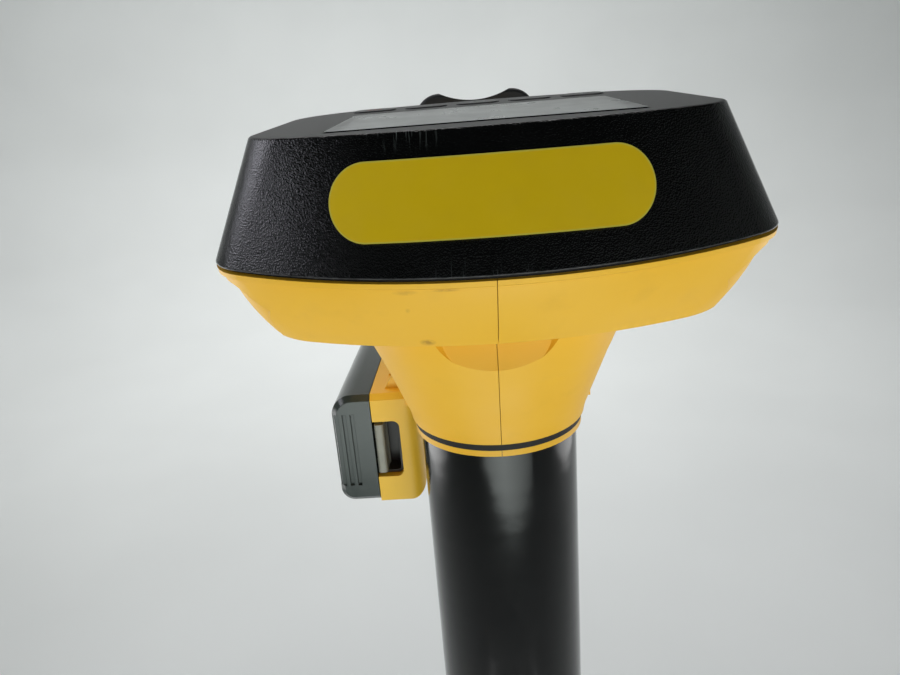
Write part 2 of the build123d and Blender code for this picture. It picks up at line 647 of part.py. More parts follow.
def port_flap():
    """Flap over the charging port, with its barrel on the pin at its lower edge."""
    half = FLAP_WIDTH / 2
    inner = BLOCK_REAR + PLAY / 2
    plate = span((PORT_X - half, PORT_X + half), (inner, inner + FLAP_THICKNESS),
                 (FLAP_PIN_RISE, PORT_RISE + FLAP_HEIGHT / 2))
    plate = fillet(plate.edges().filter_by(Axis.Y).group_by(Axis.Z)[-1], FLAP_THICKNESS)
    start = (PORT_X - half, FLAP_PIN_Y, COLLAR_HEIGHT + FLAP_PIN_RISE)
    flap = plate + rod(start, (1, 0, 0), FLAP_BARREL, FLAP_WIDTH)
    return flap - rod(start, (1, 0, 0), FLAP_PIN_RADIUS + RUN, FLAP_WIDTH)


def flap_pin():
    reach = FLAP_WIDTH / 2 + PLAY + FLAP_EAR
    start = (PORT_X - reach, FLAP_PIN_Y, COLLAR_HEIGHT + FLAP_PIN_RISE)
    return rod(start, (1, 0, 0), FLAP_PIN_RADIUS, 2 * reach)


def key_spots():
    """Middles of the keys on the roof, in the order of their names."""
    first = -(len(KEY_NAMES) - 1) / 2
    return [((first + number) * KEY_PITCH, KEY_Y) for number in range(len(KEY_NAMES))]


def on_roof(sketch, lift, amount):
    """Sketch on the roof's plane, raised by lift and extruded along the roof's normal."""
    return extrude(roof_plane(lift) * sketch, amount)


def key_outline(grow):
    return RectangleRounded(KEY_WIDTH + 2 * grow, KEY_LENGTH + 2 * grow, KEY_CORNER + grow)


def key(x, y):
    """Key with a crowned top, a flange under the roof and a stem over its dome."""
    spot = Pos(x, y)
    flange_top = -ROOF - SLIP
    body = on_roof(spot * key_outline(0), flange_top, KEY_PROUD - flange_top)
    body = fillet(body.faces().sort_by(Axis.Z)[-1].edges(), KEY_EDGE)
    body += on_roof(spot * key_outline(KEY_FLANGE), flange_top - KEY_FLANGE_THICKNESS, KEY_FLANGE_THICKNESS)
    stem_bottom = -DOME_DEPTH + KEY_TRAVEL + SLIP
    return body + on_roof(spot * Circle(DOME_RADIUS), stem_bottom, flange_top - stem_bottom)


def bezel():
    """Black bezel with its window, key holes, board posts and screw posts."""
    outside = bezel_block()
    outside = fillet(outside.faces().sort_by(Axis.Z)[-1].edges(), ROOF_EDGE)
    body = outside - bezel_block(-BEZEL_WALL, ROOF)
    pane = RectangleRounded(WINDOW_WIDTH, WINDOW_LENGTH, WINDOW_CORNER)
    opening = RectangleRounded(WINDOW_WIDTH - 2 * WINDOW_LEDGE, WINDOW_LENGTH - 2 * WINDOW_LEDGE, WINDOW_CORNER)
    body -= on_roof(Pos(0, WINDOW_Y) * pane, -LENS_THICKNESS, 2 * LENS_THICKNESS)
    body -= on_roof(Pos(0, WINDOW_Y) * opening, -2 * ROOF, 3 * ROOF)
    for x, y in key_spots():
        body -= on_roof(Pos(x, y) * key_outline(PLAY), -2 * ROOF, 3 * ROOF)
    for x, y in board_screw_spots():
        body += on_roof(Pos(x, y) * Circle(BOARD_POST_RADIUS), -BOARD_DEPTH, BOARD_DEPTH - ROOF / 2)
        body -= on_roof(Pos(x, y) * Circle(BOARD_SCREW_RADIUS + SLIP), -BOARD_DEPTH, BOARD_SCREW_LENGTH)
    for x, y in bezel_screw_spots():
        base = seam_plane(SEAM_GAP / 2) * Pos(x, y) * Circle(BEZEL_POST_RADIUS)
        post = extrude(base, TOP_RISE - SEAM_RISE + ROOF)
        body += post & bezel_block(-BEZEL_WALL / 2, ROOF / 2)
        pilot = Pos(x, y) * Circle(SCREW_RADIUS + SLIP)
        body -= extrude(seam_plane(SEAM_GAP / 2) * pilot, BEZEL_SCREW_BITE + PLAY)
    return body


def board_screw_spots():
    return [(side * BOARD_POST_X, y) for side in (-1, 1) for y in BOARD_POST_Y]


def display_window():
    width = WINDOW_WIDTH - 2 * LENS_ROOM
    length = WINDOW_LENGTH - 2 * LENS_ROOM
    pane = RectangleRounded(width, length, WINDOW_CORNER - LENS_ROOM)
    return on_roof(Pos(0, WINDOW_Y) * pane, -LENS_THICKNESS, LENS_THICKNESS)


def lcd_module():
    return on_roof(Pos(0, WINDOW_Y) * Rectangle(LCD_WIDTH, LCD_LENGTH), -BOARD_DEPTH, LCD_THICKNESS)


def main_board():
    board = on_roof(roof_outline(-BOARD_MARGIN), -BOARD_DEPTH - BOARD_THICKNESS, BOARD_THICKNESS)
    for x, y in board_screw_spots():
        board -= on_roof(Pos(x, y) * Circle(BOARD_SCREW_RADIUS + SCREW_ROOM), -2 * BOARD_DEPTH, 2 * BOARD_DEPTH)
    return board


def board_screws():
    """Screws from below the board into the bezel's posts."""
    under = -BOARD_DEPTH - BOARD_THICKNESS
    screws = []
    for x, y in board_screw_spots():
        head = on_roof(Pos(x, y) * Circle(BOARD_SCREW_HEAD_RADIUS), under - BOARD_SCREW_HEAD, BOARD_SCREW_HEAD)
        shank = on_roof(Pos(x, y) * Circle(BOARD_SCREW_RADIUS), under, BOARD_SCREW_LENGTH)
        screws.append(head + shank)
    return screws


def board_chips():
    """Main processor, radio can and power parts under the board."""
    under = -BOARD_DEPTH - BOARD_THICKNESS
    chips = []
    for x, y, width, length, height in CHIPS:
        chips.append(on_roof(Pos(x, y) * Rectangle(width, length), under - height, height))
    return chips


def dome_switches():
    return [on_roof(Pos(x, y) * Circle(DOME_RADIUS), -BOARD_DEPTH, DOME_HEIGHT) for x, y in key_spots()]


def name_plate():
    """Bare pill-shaped plate that follows the front of the bezel."""
    shape = Plane(origin=(0, 0, COLLAR_HEIGHT + PLATE_RISE), x_dir=(1, 0, 0), z_dir=(0, -1, 0))
    pill = extrude(shape * SlotOverall(PLATE_WIDTH, PLATE_HEIGHT), PLATE_FRONT)
    return (pill & bezel_block(PLATE_THICKNESS)) - bezel_block(PLATE_GLUE)


def head_gasket():
    """Seal in the seam, set back from the outside so that a dark line shows."""
    outer = seam_outline(-GASKET_SET_BACK)
    ring = outer - seam_outline(-GASKET_SET_BACK - GASKET_WIDTH)
    return extrude(seam_plane(-SEAM_GAP / 2) * ring, SEAM_GAP)


def bezel_screws():
    screws = []
    for x, y in bezel_screw_spots():
        seat = (seam_plane(-SEAM_GAP / 2 - BEZEL_SCREW_SEAT) * Pos(x, y, 0)).position
        down = Vector(0, sin(radians(SEAM_TILT)), -cos(radians(SEAM_TILT)))
        length = BEZEL_SCREW_SEAT + SEAM_GAP + BEZEL_SCREW_BITE
        screws.append(Plane(origin=seat, x_dir=(1, 0, 0), z_dir=down) * screw(length))
    return screws


def housing_screws():
    screws = []
    for y, rise in handle_screw_spots():
        seat = Plane(origin=(HANDLE_SCREW_SEAT, y, COLLAR_HEIGHT + rise), z_dir=(1, 0, 0))
        screws.append(seat * screw(HANDLE_SCREW_SEAT + HANDLE_SCREW_BITE))
    return screws


def neck_band():
    ring = Circle(LIP_RADIUS + BAND_PROUD) - Circle(LIP_RADIUS - BAND_DEPTH + SLIP)
    return extrude(Pos(0, 0, COLLAR_HEIGHT + LIP_HEIGHT + SLIP) * ring, BAND_HEIGHT - 2 * SLIP)


def speaker():
    start = (SPEAKER_X, BLOCK_REAR - BLOCK_WALL, COLLAR_HEIGHT + SPEAKER_RISE)
    return rod(start, (0, -1, 0), SPEAKER_RADIUS, SPEAKER_DEPTH)


def handle_plane(y):
    """Upright plane across the straight length of the handle, facing the rear."""
    return Plane(origin=(0, y, COLLAR_HEIGHT + HANDLE_RISE), x_dir=(-1, 0, 0), z_dir=(0, 1, 0))


def handle_section(grow):
    return RectangleRounded(HANDLE_WIDTH + 2 * grow, HANDLE_HEIGHT + 2 * grow, HANDLE_ROUND + grow)


def handle_grip():
    """Rubber sleeve on the handle, with a shallow dish along its top between two shoulders."""
    length = GRIP_END - GRIP_START
    body = extrude(handle_plane(GRIP_START) * handle_section(GRIP_WALL), length)
    ends = body.faces().filter_by(Axis.Y).edges()
    body = fillet(ends, GRIP_EDGE)
    top = COLLAR_HEIGHT + HANDLE_RISE + HANDLE_HEIGHT / 2 + GRIP_WALL
    body -= rod((0, GRIP_START, top - DISH_DEPTH + DISH_RADIUS), (0, 1, 0), DISH_RADIUS, length)
    return body - extrude(handle_plane(GRIP_START) * handle_section(SLIP), length)


def handle_end_cap():
    """Cap on the end of the handle with a plug inside it."""
    cap = extrude(handle_plane(HANDLE_END) * handle_section(END_CAP_LIP), END_CAP_THICKNESS)
    cap = fillet(cap.faces().sort_by(Axis.Y)[-1].edges(), END_CAP_LIP)
    plug = extrude(handle_plane(HANDLE_END - END_CAP_PLUG) * handle_section(-HANDLE_WALL - SLIP), END_CAP_PLUG)
    bore = extrude(handle_plane(HANDLE_END - END_CAP_PLUG) * handle_section(-2 * HANDLE_WALL), END_CAP_PLUG)
    return cap + (plug - bore)


def mast():
    start = PAD_THICKNESS + FOOT_FLOOR
    ring = Circle(MAST_RADIUS) - Circle(MAST_BORE)
    return extrude(Pos(0, 0, start) * ring, MAST_TOP - start)


def foot_screw_spots():
    spots = []
    for number in range(FOOT_SCREW_COUNT):
        turn = radians(90 + number * 360 / FOOT_SCREW_COUNT)
        spots.append((FOOT_SCREW_CIRCLE * cos(turn), FOOT_SCREW_CIRCLE * sin(turn)))
    return spots


def foot_cup():
    """Cup round the lower end of the mast, with a wide skirt to stand on."""
    top = MAST_RADIUS + FOOT_TOP_WALL
    skirt = PAD_THICKNESS + FOOT_SKIRT
    edges = Polyline((0, PAD_THICKNESS), (FOOT_RADIUS, PAD_THICKNESS), (FOOT_RADIUS, skirt), (top, FOOT_HEIGHT),
                     (0, FOOT_HEIGHT), close=True)
    cup = revolve(Plane.XZ * make_face(edges), Axis.Z)
    cup -= rod((0, 0, PAD_THICKNESS + FOOT_FLOOR), (0, 0, 1), MAST_RADIUS + SLIP, FOOT_HEIGHT)
    for x, y in foot_screw_spots():
        cup -= rod((x, y, PAD_THICKNESS), (0, 0, 1), SCREW_RADIUS + SLIP, FOOT_SCREW_BITE + PLAY)
    return cup


def foot_pad():
    """Rubber pad under the cup, with its screws sunk above the floor."""
    pad = rod((0, 0, 0), (0, 0, 1), FOOT_RADIUS, PAD_THICKNESS)
    pad = fillet(pad.edges().group_by(Axis.Z)[0], PAD_EDGE)
    for x, y in foot_screw_spots():
        pad -= rod((x, y, 0), (0, 0, 1), SCREW_RADIUS + SCREW_ROOM, PAD_THICKNESS)
        pad -= rod((x, y, 0), (0, 0, 1), SCREW_HEAD_RADIUS + SCREW_ROOM, FOOT_SCREW_SINK + SCREW_HEAD)
    return pad


def foot_screws():
    seat = FOOT_SCREW_SINK + SCREW_HEAD
    length = PAD_THICKNESS - seat + FOOT_SCREW_BITE
    return [Plane(origin=(x, y, seat), z_dir=(0, 0, -1)) * screw(length) for x, y in foot_screw_spots()]


def spine_hole(start, length):
    """Room round the antenna spine over a length of the mast."""
    hole = Rectangle(SPINE_WIDTH + 2 * SLIP, SPINE_DEPTH + 2 * SLIP)
    return extrude(Pos(0, 0, start) * hole, length)


def antenna_spine():
    """Long strip on the mast's axis that carries the coils."""
    start = PAD_THICKNESS + FOOT_FLOOR
    spine = extrude(Pos(0, 0, start) * Rectangle(SPINE_WIDTH, SPINE_DEPTH), MAST_TOP - start)
    for height in (LOWER_ANTENNA, UPPER_ANTENNA):
        spine -= rod((-SPINE_WIDTH, 0, height), (1, 0, 0), FERRITE_RADIUS + SLIP, 2 * SPINE_WIDTH)
    return spine


def spine_spacers():
    spacers = []
    for height in SPACER_HEIGHTS:
        disc = rod((0, 0, height), (0, 0, 1), MAST_BORE - SLIP, SPACER_THICKNESS)
        spacers.append(disc - spine_hole(height, SPACER_THICKNESS))
    return spacers


def ferrite(height):
    return rod((-FERRITE_LENGTH / 2, 0, height), (1, 0, 0), FERRITE_RADIUS, FERRITE_LENGTH)


def windings(height):
    """Two windings on a ferrite rod, one on each side of the spine."""
    pair = []
    for side in (-1, 1):
        start = (side * (SPINE_WIDTH / 2 + SLIP), 0, height)
        coil = rod(start, (side, 0, 0), WINDING_RADIUS, WINDING_LENGTH)
        pair.append(coil - rod(start, (side, 0, 0), FERRITE_RADIUS + SLIP, WINDING_LENGTH))
    return pair


def null_coil():
    coil = rod((0, 0, NULL_COIL_HEIGHT), (0, 0, 1), NULL_COIL_RADIUS, NULL_COIL_LENGTH)
    return coil - spine_hole(NULL_COIL_HEIGHT, NULL_COIL_LENGTH)


def antenna_lead():
    """Lead from the top of the spine to the underside of the main board."""
    under = (roof_plane(-BOARD_DEPTH - BOARD_THICKNESS) * Pos(0, HARNESS_SHIFT, 0)).position
    top = under.Z - SLIP - HARNESS_RADIUS * tan(radians(TOP_TILT))
    run = (top - MAST_TOP) / 3
    points = ((0, 0, MAST_TOP), (0, 0, MAST_TOP + run), (0, under.Y, top - run), (0, under.Y, top))
    path = FilletPolyline(*points, radius=HARNESS_BEND)
    return sweep(Pos(0, 0, MAST_TOP) * Circle(HARNESS_RADIUS), path=path)


def bay_shell(near, far, inset):
    """Box of the battery bay between two distances left of the mast's axis, drawn in by inset."""
    return span((-far, -near), (BAY_FRONT + inset, BAY_REAR - inset), (BAY_BOTTOM + inset, BAY_TOP - inset))


def latch_room(inset):
    """Recess of the latch in the front of the cradle, drawn in by inset."""
    half = LATCH_HEIGHT / 2 - inset
    room = span((-FAR, LATCH_WIDTH - BAY_SPLIT - inset), (-FAR, BAY_FRONT + LATCH_DEPTH - inset),
                (LATCH_Z - half, LATCH_Z + half))
    return fillet(room.edges().filter_by(Axis.Y).group_by(Axis.X)[-1], LATCH_CORNER - inset)


def knuckle(side, low, high):
    """Hinge knuckle behind the bay between two heights, with a tab into the wall on one side of the split."""
    start = (COVER_HINGE_X, COVER_HINGE_Y, COLLAR_HEIGHT + low)
    barrel = rod(start, (0, 0, 1), COVER_HINGE_RADIUS, high - low)
    inner = COVER_HINGE_X + side * (COVER_GAP if side < 0 else 0)
    outer = COVER_HINGE_X + side * COVER_HINGE_RADIUS
    tab = span(sorted((inner, outer)), (BAY_REAR - BAY_WALL / 2, COVER_HINGE_Y), (low, high))
    return barrel + tab


def hinge_bore(room):
    reach = COVER_KNUCKLE / 2 + PLAY + CRADLE_KNUCKLE
    start = (COVER_HINGE_X, COVER_HINGE_Y, COLLAR_HEIGHT + BAY_MIDDLE - reach)
    return rod(start, (0, 0, 1), COVER_PIN_RADIUS + room, 2 * reach)


def latch_pin_rod(room):
    low = LATCH_Z - LATCH_HEIGHT / 2 - LATCH_PIN_SEAT
    start = (LATCH_PIN_X, LATCH_PIN_Y, COLLAR_HEIGHT + low)
    return rod(start, (0, 0, 1), LATCH_PIN_RADIUS + room, LATCH_HEIGHT + 2 * LATCH_PIN_SEAT)


def battery_cradle():
    """Yellow tray of the battery bay, with the latch recess, hinge knuckles and a bracket to the rear block."""
    body = bay_shell(BAY_RIGHT, BAY_SPLIT, 0)
    body = chamfer(body.edges().filter_by(Axis.X).group_by(Axis.Y)[0].sort_by(Axis.Z)[-1], BAY_CHAMFER)
    lower_right = body.edges().filter_by(Axis.Y).group_by(Axis.Z)[0].sort_by(Axis.X)[-1]
    front_right = body.edges().filter_by(Axis.Z).group_by(Axis.Y)[0].sort_by(Axis.X)[-1]
    body = fillet([lower_right, front_right], BAY_CORNER)
    cell_room = span((-FAR, -BAY_RIGHT - BAY_BACK), (CELL_WALL_FRONT, BAY_REAR - BAY_WALL),
                     (BAY_BOTTOM + BAY_WALL, BAY_TOP - BAY_WALL))
    body -= cell_room
    body -= latch_room(0)
    near = BLOCK_HALF + BRACKET_THICKNESS
    plate = span((-near, -BLOCK_HALF), (BRACKET_FRONT, BRACKET_REAR), (BAY_TOP - BAY_WALL, BRACKET_HEIGHT))
    plate = fillet(plate.edges().filter_by(Axis.X).group_by(Axis.Z)[-1], BAY_EDGE)
    body += plate
    for y in (BRACKET_FRONT, BRACKET_REAR - BRACKET_THICKNESS):
        rib = Polyline((-near, BAY_TOP), (-BAY_SPLIT + BAY_EDGE, BAY_TOP),
                       (-near, BAY_TOP + BAY_SPLIT - BLOCK_HALF - BAY_EDGE), close=True)
        plane = Plane(origin=(0, y, COLLAR_HEIGHT), x_dir=(1, 0, 0), z_dir=(0, -1, 0))
        body += extrude(plane * make_face(rib), -BRACKET_THICKNESS)
    middle = COVER_KNUCKLE / 2 + PLAY
    body += knuckle(1, BAY_MIDDLE + middle, BAY_MIDDLE + middle + CRADLE_KNUCKLE)
    body += knuckle(1, BAY_MIDDLE - middle - CRADLE_KNUCKLE, BAY_MIDDLE - middle)
    body -= hinge_bore(SLIP)
    body -= latch_pin_rod(SLIP)
    for y, rise in bracket_screw_spots():
        start = (-near, y, COLLAR_HEIGHT + rise)
        body -= rod(start, (1, 0, 0), SCREW_RADIUS + SCREW_ROOM, BRACKET_THICKNESS)
    return body


def cradle_screws():
    screws = []
    for y, rise in bracket_screw_spots():
        seat = Plane(origin=(-BLOCK_HALF - BRACKET_THICKNESS, y, COLLAR_HEIGHT + rise), z_dir=(-1, 0, 0))
        screws.append(seat * screw(BRACKET_THICKNESS + BRACKET_SCREW_BITE))
    return screws


def round_outside(body, inset):
    """Rounds the two long outer edges of the cover or of its room."""
    low, high = body.edges().filter_by(Axis.Y).group_by(Axis.X)[0].sort_by(Axis.Z)
    body = fillet(high, BAY_SHOULDER - inset)
    low = body.edges().filter_by(Axis.Y).group_by(Axis.Z)[0].sort_by(Axis.X)[0]
    return fillet(low, BAY_EDGE - inset)


def battery_cover():
    """Black cover of the battery bay, hinged at its rear end, with grip ridges round its front corner."""
    rim = BAY_SPLIT + COVER_GAP
    body = bay_shell(rim, BAY_LEFT, 0)
    body = round_outside(body, 0)
    front = body.faces().sort_by(Axis.Y)[0].edges()
    body = chamfer([edge for edge in front if edge.center().X < -rim - PLAY], BAY_CHAMFER)
    body -= round_outside(bay_shell(rim, BAY_LEFT - BAY_WALL, BAY_WALL), BAY_WALL)
    for number in range(RIDGE_COUNT):
        x = -BAY_LEFT + BAY_WALL / 2 + number * RIDGE_PITCH
        body -= span((x, x + RIDGE_WIDTH), (-FAR, BAY_FRONT + RIDGE_DEPTH),
                     (BAY_BOTTOM + RIDGE_END, BAY_TOP - RIDGE_END))
        y = BAY_FRONT + BAY_WALL / 2 + number * RIDGE_PITCH
        body -= span((-FAR, -BAY_LEFT + RIDGE_DEPTH), (y, y + RIDGE_WIDTH),
                     (BAY_BOTTOM + RIDGE_END, BAY_TOP - RIDGE_END))
    half = COVER_KNUCKLE / 2
    body += knuckle(-1, BAY_MIDDLE - half, BAY_MIDDLE + half)
    return body - hinge_bore(RUN)


def cover_hinge_pin():
    return hinge_bore(0)


def cell_spots():
    return [(CELL_X, COLLAR_HEIGHT + BAY_MIDDLE + side * CELL_Z) for side in (-1, 1)]


def battery_cells():
    """Two round cells, one above the other, each with its button at the rear."""
    cells = []
    for x, z in cell_spots():
        can = rod((x, CELL_FRONT, z), (0, 1, 0), CELL_RADIUS, CELL_LENGTH - CELL_BUTTON)
        button = rod((x, CELL_FRONT, z), (0, 1, 0), CELL_BUTTON_RADIUS, CELL_LENGTH)
        cells.append(can + button)
    return cells


def cell_springs():
    """Sprung contacts between the bay's front wall and the cells."""
    springs = []
    for x, z in cell_spots():
        middle = (Align.CENTER, Align.CENTER, Align.MIN)
        cone = Cone(SPRING_BASE_RADIUS, SPRING_TIP_RADIUS, SPRING_LENGTH, align=middle)
        springs.append(Plane(origin=(x, CELL_WALL_FRONT, z), z_dir=(0, 1, 0)) * cone)
    return springs


def cell_contact():
    """Plate that joins the cells' buttons at the rear wall."""
    half = CELL_BUTTON_RADIUS
    rear = BAY_REAR - BAY_WALL
    return span((CELL_X - half, CELL_X + half), (rear - CONTACT_THICKNESS, rear),
                (BAY_MIDDLE - CELL_Z - half, BAY_MIDDLE + CELL_Z + half))


def cell_pad():
    """Foam pad on the inside of the cover that keeps the cells in place."""
    near = CELL_RADIUS + CELL_PAD_ROOM - CELL_X
    start = CELL_FRONT + (CELL_LENGTH - CELL_PAD_LENGTH) / 2
    return span((-BAY_LEFT + BAY_WALL, -near), (start, start + CELL_PAD_LENGTH),
                (BAY_MIDDLE - CELL_Z, BAY_MIDDLE + CELL_Z))


def latch_case():
    """Black case in the recess that carries the lever's pin, open to the front and to the cover."""
    behind = span((-BAY_SPLIT, FAR), (BAY_FRONT + CASE_SET_BACK, FAR), (-FAR, FAR))
    case = (latch_room(SLIP) & behind) - latch_room(CASE_WALL)
    return case - latch_pin_rod(SLIP)


def latch_lever():
    """Thumb lever of the latch, on its pin at the back of the case, cut away under its spring."""
    low = LATCH_Z - LATCH_REACH + PLAY
    high = LATCH_Z + LATCH_REACH - PLAY
    left = LATCH_PIN_X - LATCH_BARREL
    plate = span((left, left + LEVER_THICKNESS), (BAY_FRONT + PLAY, LATCH_PIN_Y), (low, high))
    front = plate.edges().filter_by(Axis.Z).group_by(Axis.Y)[0]
    plate = fillet(front, LEVER_EDGE)
    start = (LATCH_PIN_X, LATCH_PIN_Y, COLLAR_HEIGHT + low)
    lever = plate + rod(start, (0, 0, 1), LATCH_BARREL, high - low)
    lever -= span((-FAR, FAR), (LATCH_PIN_Y - LATCH_BARREL - PLAY, FAR), (high - LATCH_SPRING_HEIGHT, FAR))
    return lever - latch_pin_rod(RUN)


def latch_pin():
    return latch_pin_rod(0)


def latch_spring():
    """Torsion spring on the pin, between the lever and the top of the case."""
    low = LATCH_Z + LATCH_REACH - LATCH_SPRING_HEIGHT
    start = (LATCH_PIN_X, LATCH_PIN_Y, COLLAR_HEIGHT + low)
    coil = rod(start, (0, 0, 1), LATCH_BARREL, LATCH_SPRING_HEIGHT)
    return coil - rod(start, (0, 0, 1), LATCH_PIN_RADIUS + SLIP, LATCH_SPRING_HEIGHT)


def pieces():
    """Every sub-part by name."""
    body = housing()
    parts = {
        "left_housing": left_housing(body),
        "right_housing": right_housing(body),
        "housing_screws": housing_screws(),
        "neck_band": neck_band(),
        "speaker": speaker(),
        "bezel": bezel(),
        "bezel_screws": bezel_screws(),
        "head_gasket": head_gasket(),
        "name_plate": name_plate(),
        "display_window": display_window(),
        "lcd_module": lcd_module(),
        "main_board": main_board(),
        "board_chips": board_chips(),
        "board_screws": board_screws(),
        "dome_switches": dome_switches(),
        "handle_grip": handle_grip(),
        "handle_end_cap": handle_end_cap(),
        "mast": mast(),
        "foot_cup": foot_cup(),
        "foot_pad": foot_pad(),
        "foot_screws": foot_screws(),
        "antenna_spine": antenna_spine(),
        "spine_spacers": spine_spacers(),
        "lower_ferrite": ferrite(LOWER_ANTENNA),
        "lower_windings": windings(LOWER_ANTENNA),
        "upper_ferrite": ferrite(UPPER_ANTENNA),
        "upper_windings": windings(UPPER_ANTENNA),
        "null_coil": null_coil(),
        "antenna_lead": antenna_lead(),
        "battery_cradle": battery_cradle(),
        "cradle_screws": cradle_screws(),
        "battery_cover": battery_cover(),
        "cover_hinge_pin": cover_hinge_pin(),
        "battery_cells": battery_cells(),
        "cell_springs": cell_springs(),
        "cell_contact": cell_contact(),
        "cell_pad": cell_pad(),
        "latch_case": latch_case(),
        "latch_lever": latch_lever(),
        "latch_pin": latch_pin(),
        "latch_spring": latch_spring(),
        "accessory_jack": accessory_jack(),
        "charge_port": charge_port(),
        "port_flap": port_flap(),
        "flap_pin": flap_pin(),
    }
    for name, (x, y) in zip(KEY_NAMES, key_spots()):
        parts[name] = key(x, y)
    return parts


def main():
    os.makedirs("parts", exist_ok=True)
    for name, shape in pieces().items():
        if isinstance(shape, list):
            shape = Compound(children=shape)
        export_step(shape, f"parts/{name}.step")


main()
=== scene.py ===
from math import cos, pi, radians, sin

import bmesh
import bpy
from mathutils import Matrix, Vector


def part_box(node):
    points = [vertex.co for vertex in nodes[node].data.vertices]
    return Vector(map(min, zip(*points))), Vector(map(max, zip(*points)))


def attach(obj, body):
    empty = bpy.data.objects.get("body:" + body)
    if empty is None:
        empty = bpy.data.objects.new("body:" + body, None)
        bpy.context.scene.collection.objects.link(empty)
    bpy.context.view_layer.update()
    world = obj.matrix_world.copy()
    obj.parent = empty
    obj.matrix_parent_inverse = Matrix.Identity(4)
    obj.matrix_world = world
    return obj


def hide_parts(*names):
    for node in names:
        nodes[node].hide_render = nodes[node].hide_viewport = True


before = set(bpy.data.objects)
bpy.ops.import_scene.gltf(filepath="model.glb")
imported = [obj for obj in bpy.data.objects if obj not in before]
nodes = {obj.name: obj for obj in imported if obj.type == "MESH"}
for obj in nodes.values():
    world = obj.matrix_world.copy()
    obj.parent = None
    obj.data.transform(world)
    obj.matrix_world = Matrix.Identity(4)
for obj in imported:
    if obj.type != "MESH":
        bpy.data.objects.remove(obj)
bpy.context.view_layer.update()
scene = bpy.context.scene

MM = 0.001

# Where the photograph was taken from: place in mm, turns in degrees, focal length and width in pixels
CAMERA_AT = (-4.47, -201.43, 684.38)
CAMERA_PITCH = 18.12
CAMERA_YAW = -2.58
CAMERA_ROLL = -4.54
CAMERA_FOCAL = 676
PICTURE_WIDTH = 900
SENSOR = 36

# The head's sloping roof and the seam under the bezel: height on the mast's axis in mm, rise to the rear
# in degrees
ROOF_HEIGHT = 685.6
ROOF_TILT = 4.0
SEAM_HEIGHT = 661.9
SEAM_TILT = 8.0
SEAM_EDGE = 0.5             # bezel's lower edge above the seam's middle

# Front edge of the display window from the mast's axis, and its half width, in mm
WINDOW_FRONT = -38.2
WINDOW_HALF = 37.7
SHADE_STRIP = 4.0                # painted shade: dull strip before the window that stands for a shadow line, in mm

# Rim of the yellow hull: how far below the seam's middle it ends, in mm, and how deep its lower edge is cut
RIM_HEIGHT = 2.3
RIM_CUT = 0.22
RIM_STEP = 0.35             # height of that edge

# Display, in mm on the roof
SCREEN_Y = -12.0
SCREEN_FACE = -3.2          # face of the display below the roof
MASK_SIZE = (76.4, 56.0)
ACTIVE_SIZE = (64.0, 42.0)
FILM = 0.06                 # thickness of each printed layer
BAR_COUNT = 20
BAR_SIZE = (2.0, 5.0)
BAR_PITCH = 2.9
BAR_Y = 6.0                 # bars above the lower edge of the active area
COMPASS_Y = 5.0             # compass above the display's middle
COMPASS_RINGS = ((9.0, 0.5), (6.0, 0.35))   # radius and line of each
TICK = (5.0, 0.5)           # length and line of the marks across the outer ring
ARROW_RADIUS = 14.0
ARROW_LINE = 2.4
ARROW_SWEEP = 56            # degrees
BATTERY_AT = (26.0, 15.7)
BATTERY_SIZE = (6.0, 3.1)
BATTERY_LINE = 0.5
BATTERY_TIP = (0.8, 1.4)

# Keys, in mm on the roof
KEYS = ("power", "info", "enter", "minus", "plus")
KEY_PITCH = 16.6
KEY_Y = 28.5
KEY_TOP = 0.4
SIGN_REACH = 2.1            # half size of the sign on a key
SIGN_LINE = 0.6
SIGN_HEIGHT = 0.05
SIGN_ROWS = 1.5             # from one line of a sign to the next
RING_GAP = 70               # opening of the broken ring, in degrees

# Hand grip, in mm
GRIP_MIDDLE = (0.0, 143.0, 676.3)
GRIP_WIDTH = 50.0
GRIP_HEIGHT = 34.0
GRIP_CORNER = 10.1
RIB_COUNT = 9
RIB_PITCH = 9.0
RIB_WIDTH = 4.2
RIB_PROUD = 0.7
RIB_SINK = 0.8
RIB_TOP = 5.0               # ribs end this far above the grip's middle
RIB_EDGE = 0.35

# Springs: wire in mm, turns and the axis that each coil rises along
CELL_SPRING = {"wire": 0.45, "turns": 3, "axis": (0, 1, 0)}
LATCH_SPRING = {"wire": 0.3, "turns": 4, "axis": (0, 0, 1)}

# Facets of round forms
STEPS_PER_TURN = 24         # along a spring's coil
WIRE_SIDES = 8
ARC_STEPS = 32
CORNER_STEPS = 10
FLOOR_STEPS = 64

# Painted highlight: pale line round the name plate where its edge catches the light, and its soft edge, in mm
PLATE_HIGHLIGHT = 0.34
HIGHLIGHT_SOFTNESS = 0.06

# Cells, in mm: bare metal at the front and rear ends, the pale band from the rear end, and soft edges
BARE_FRONT = 1.0
BARE_REAR = 1.7
BAND_START = 7.0
BAND_END = 5.0
WRAP_EDGE = 0.1

# Softness of moulded edges, in mm
ABS_EDGE = 0.35
YELLOW_EDGE = 0.12


def box_mm(name):
    """Lowest and highest corner of a CAD node at rest, in mm."""
    return [Vector(corner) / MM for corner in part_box(name)]


def linear(code):
    """sRGB hex colour as the linear colour that shaders take."""
    parts = [int(code[i:i + 2], 16) / 255 for i in (1, 3, 5)]
    return [p / 12.92 if p <= 0.04045 else ((p + 0.055) / 1.055) ** 2.4 for p in parts] + [1.0]


def per_mm(size):
    """Texture scale whose features are about that many millimetres."""
    return 1 / (size * MM)


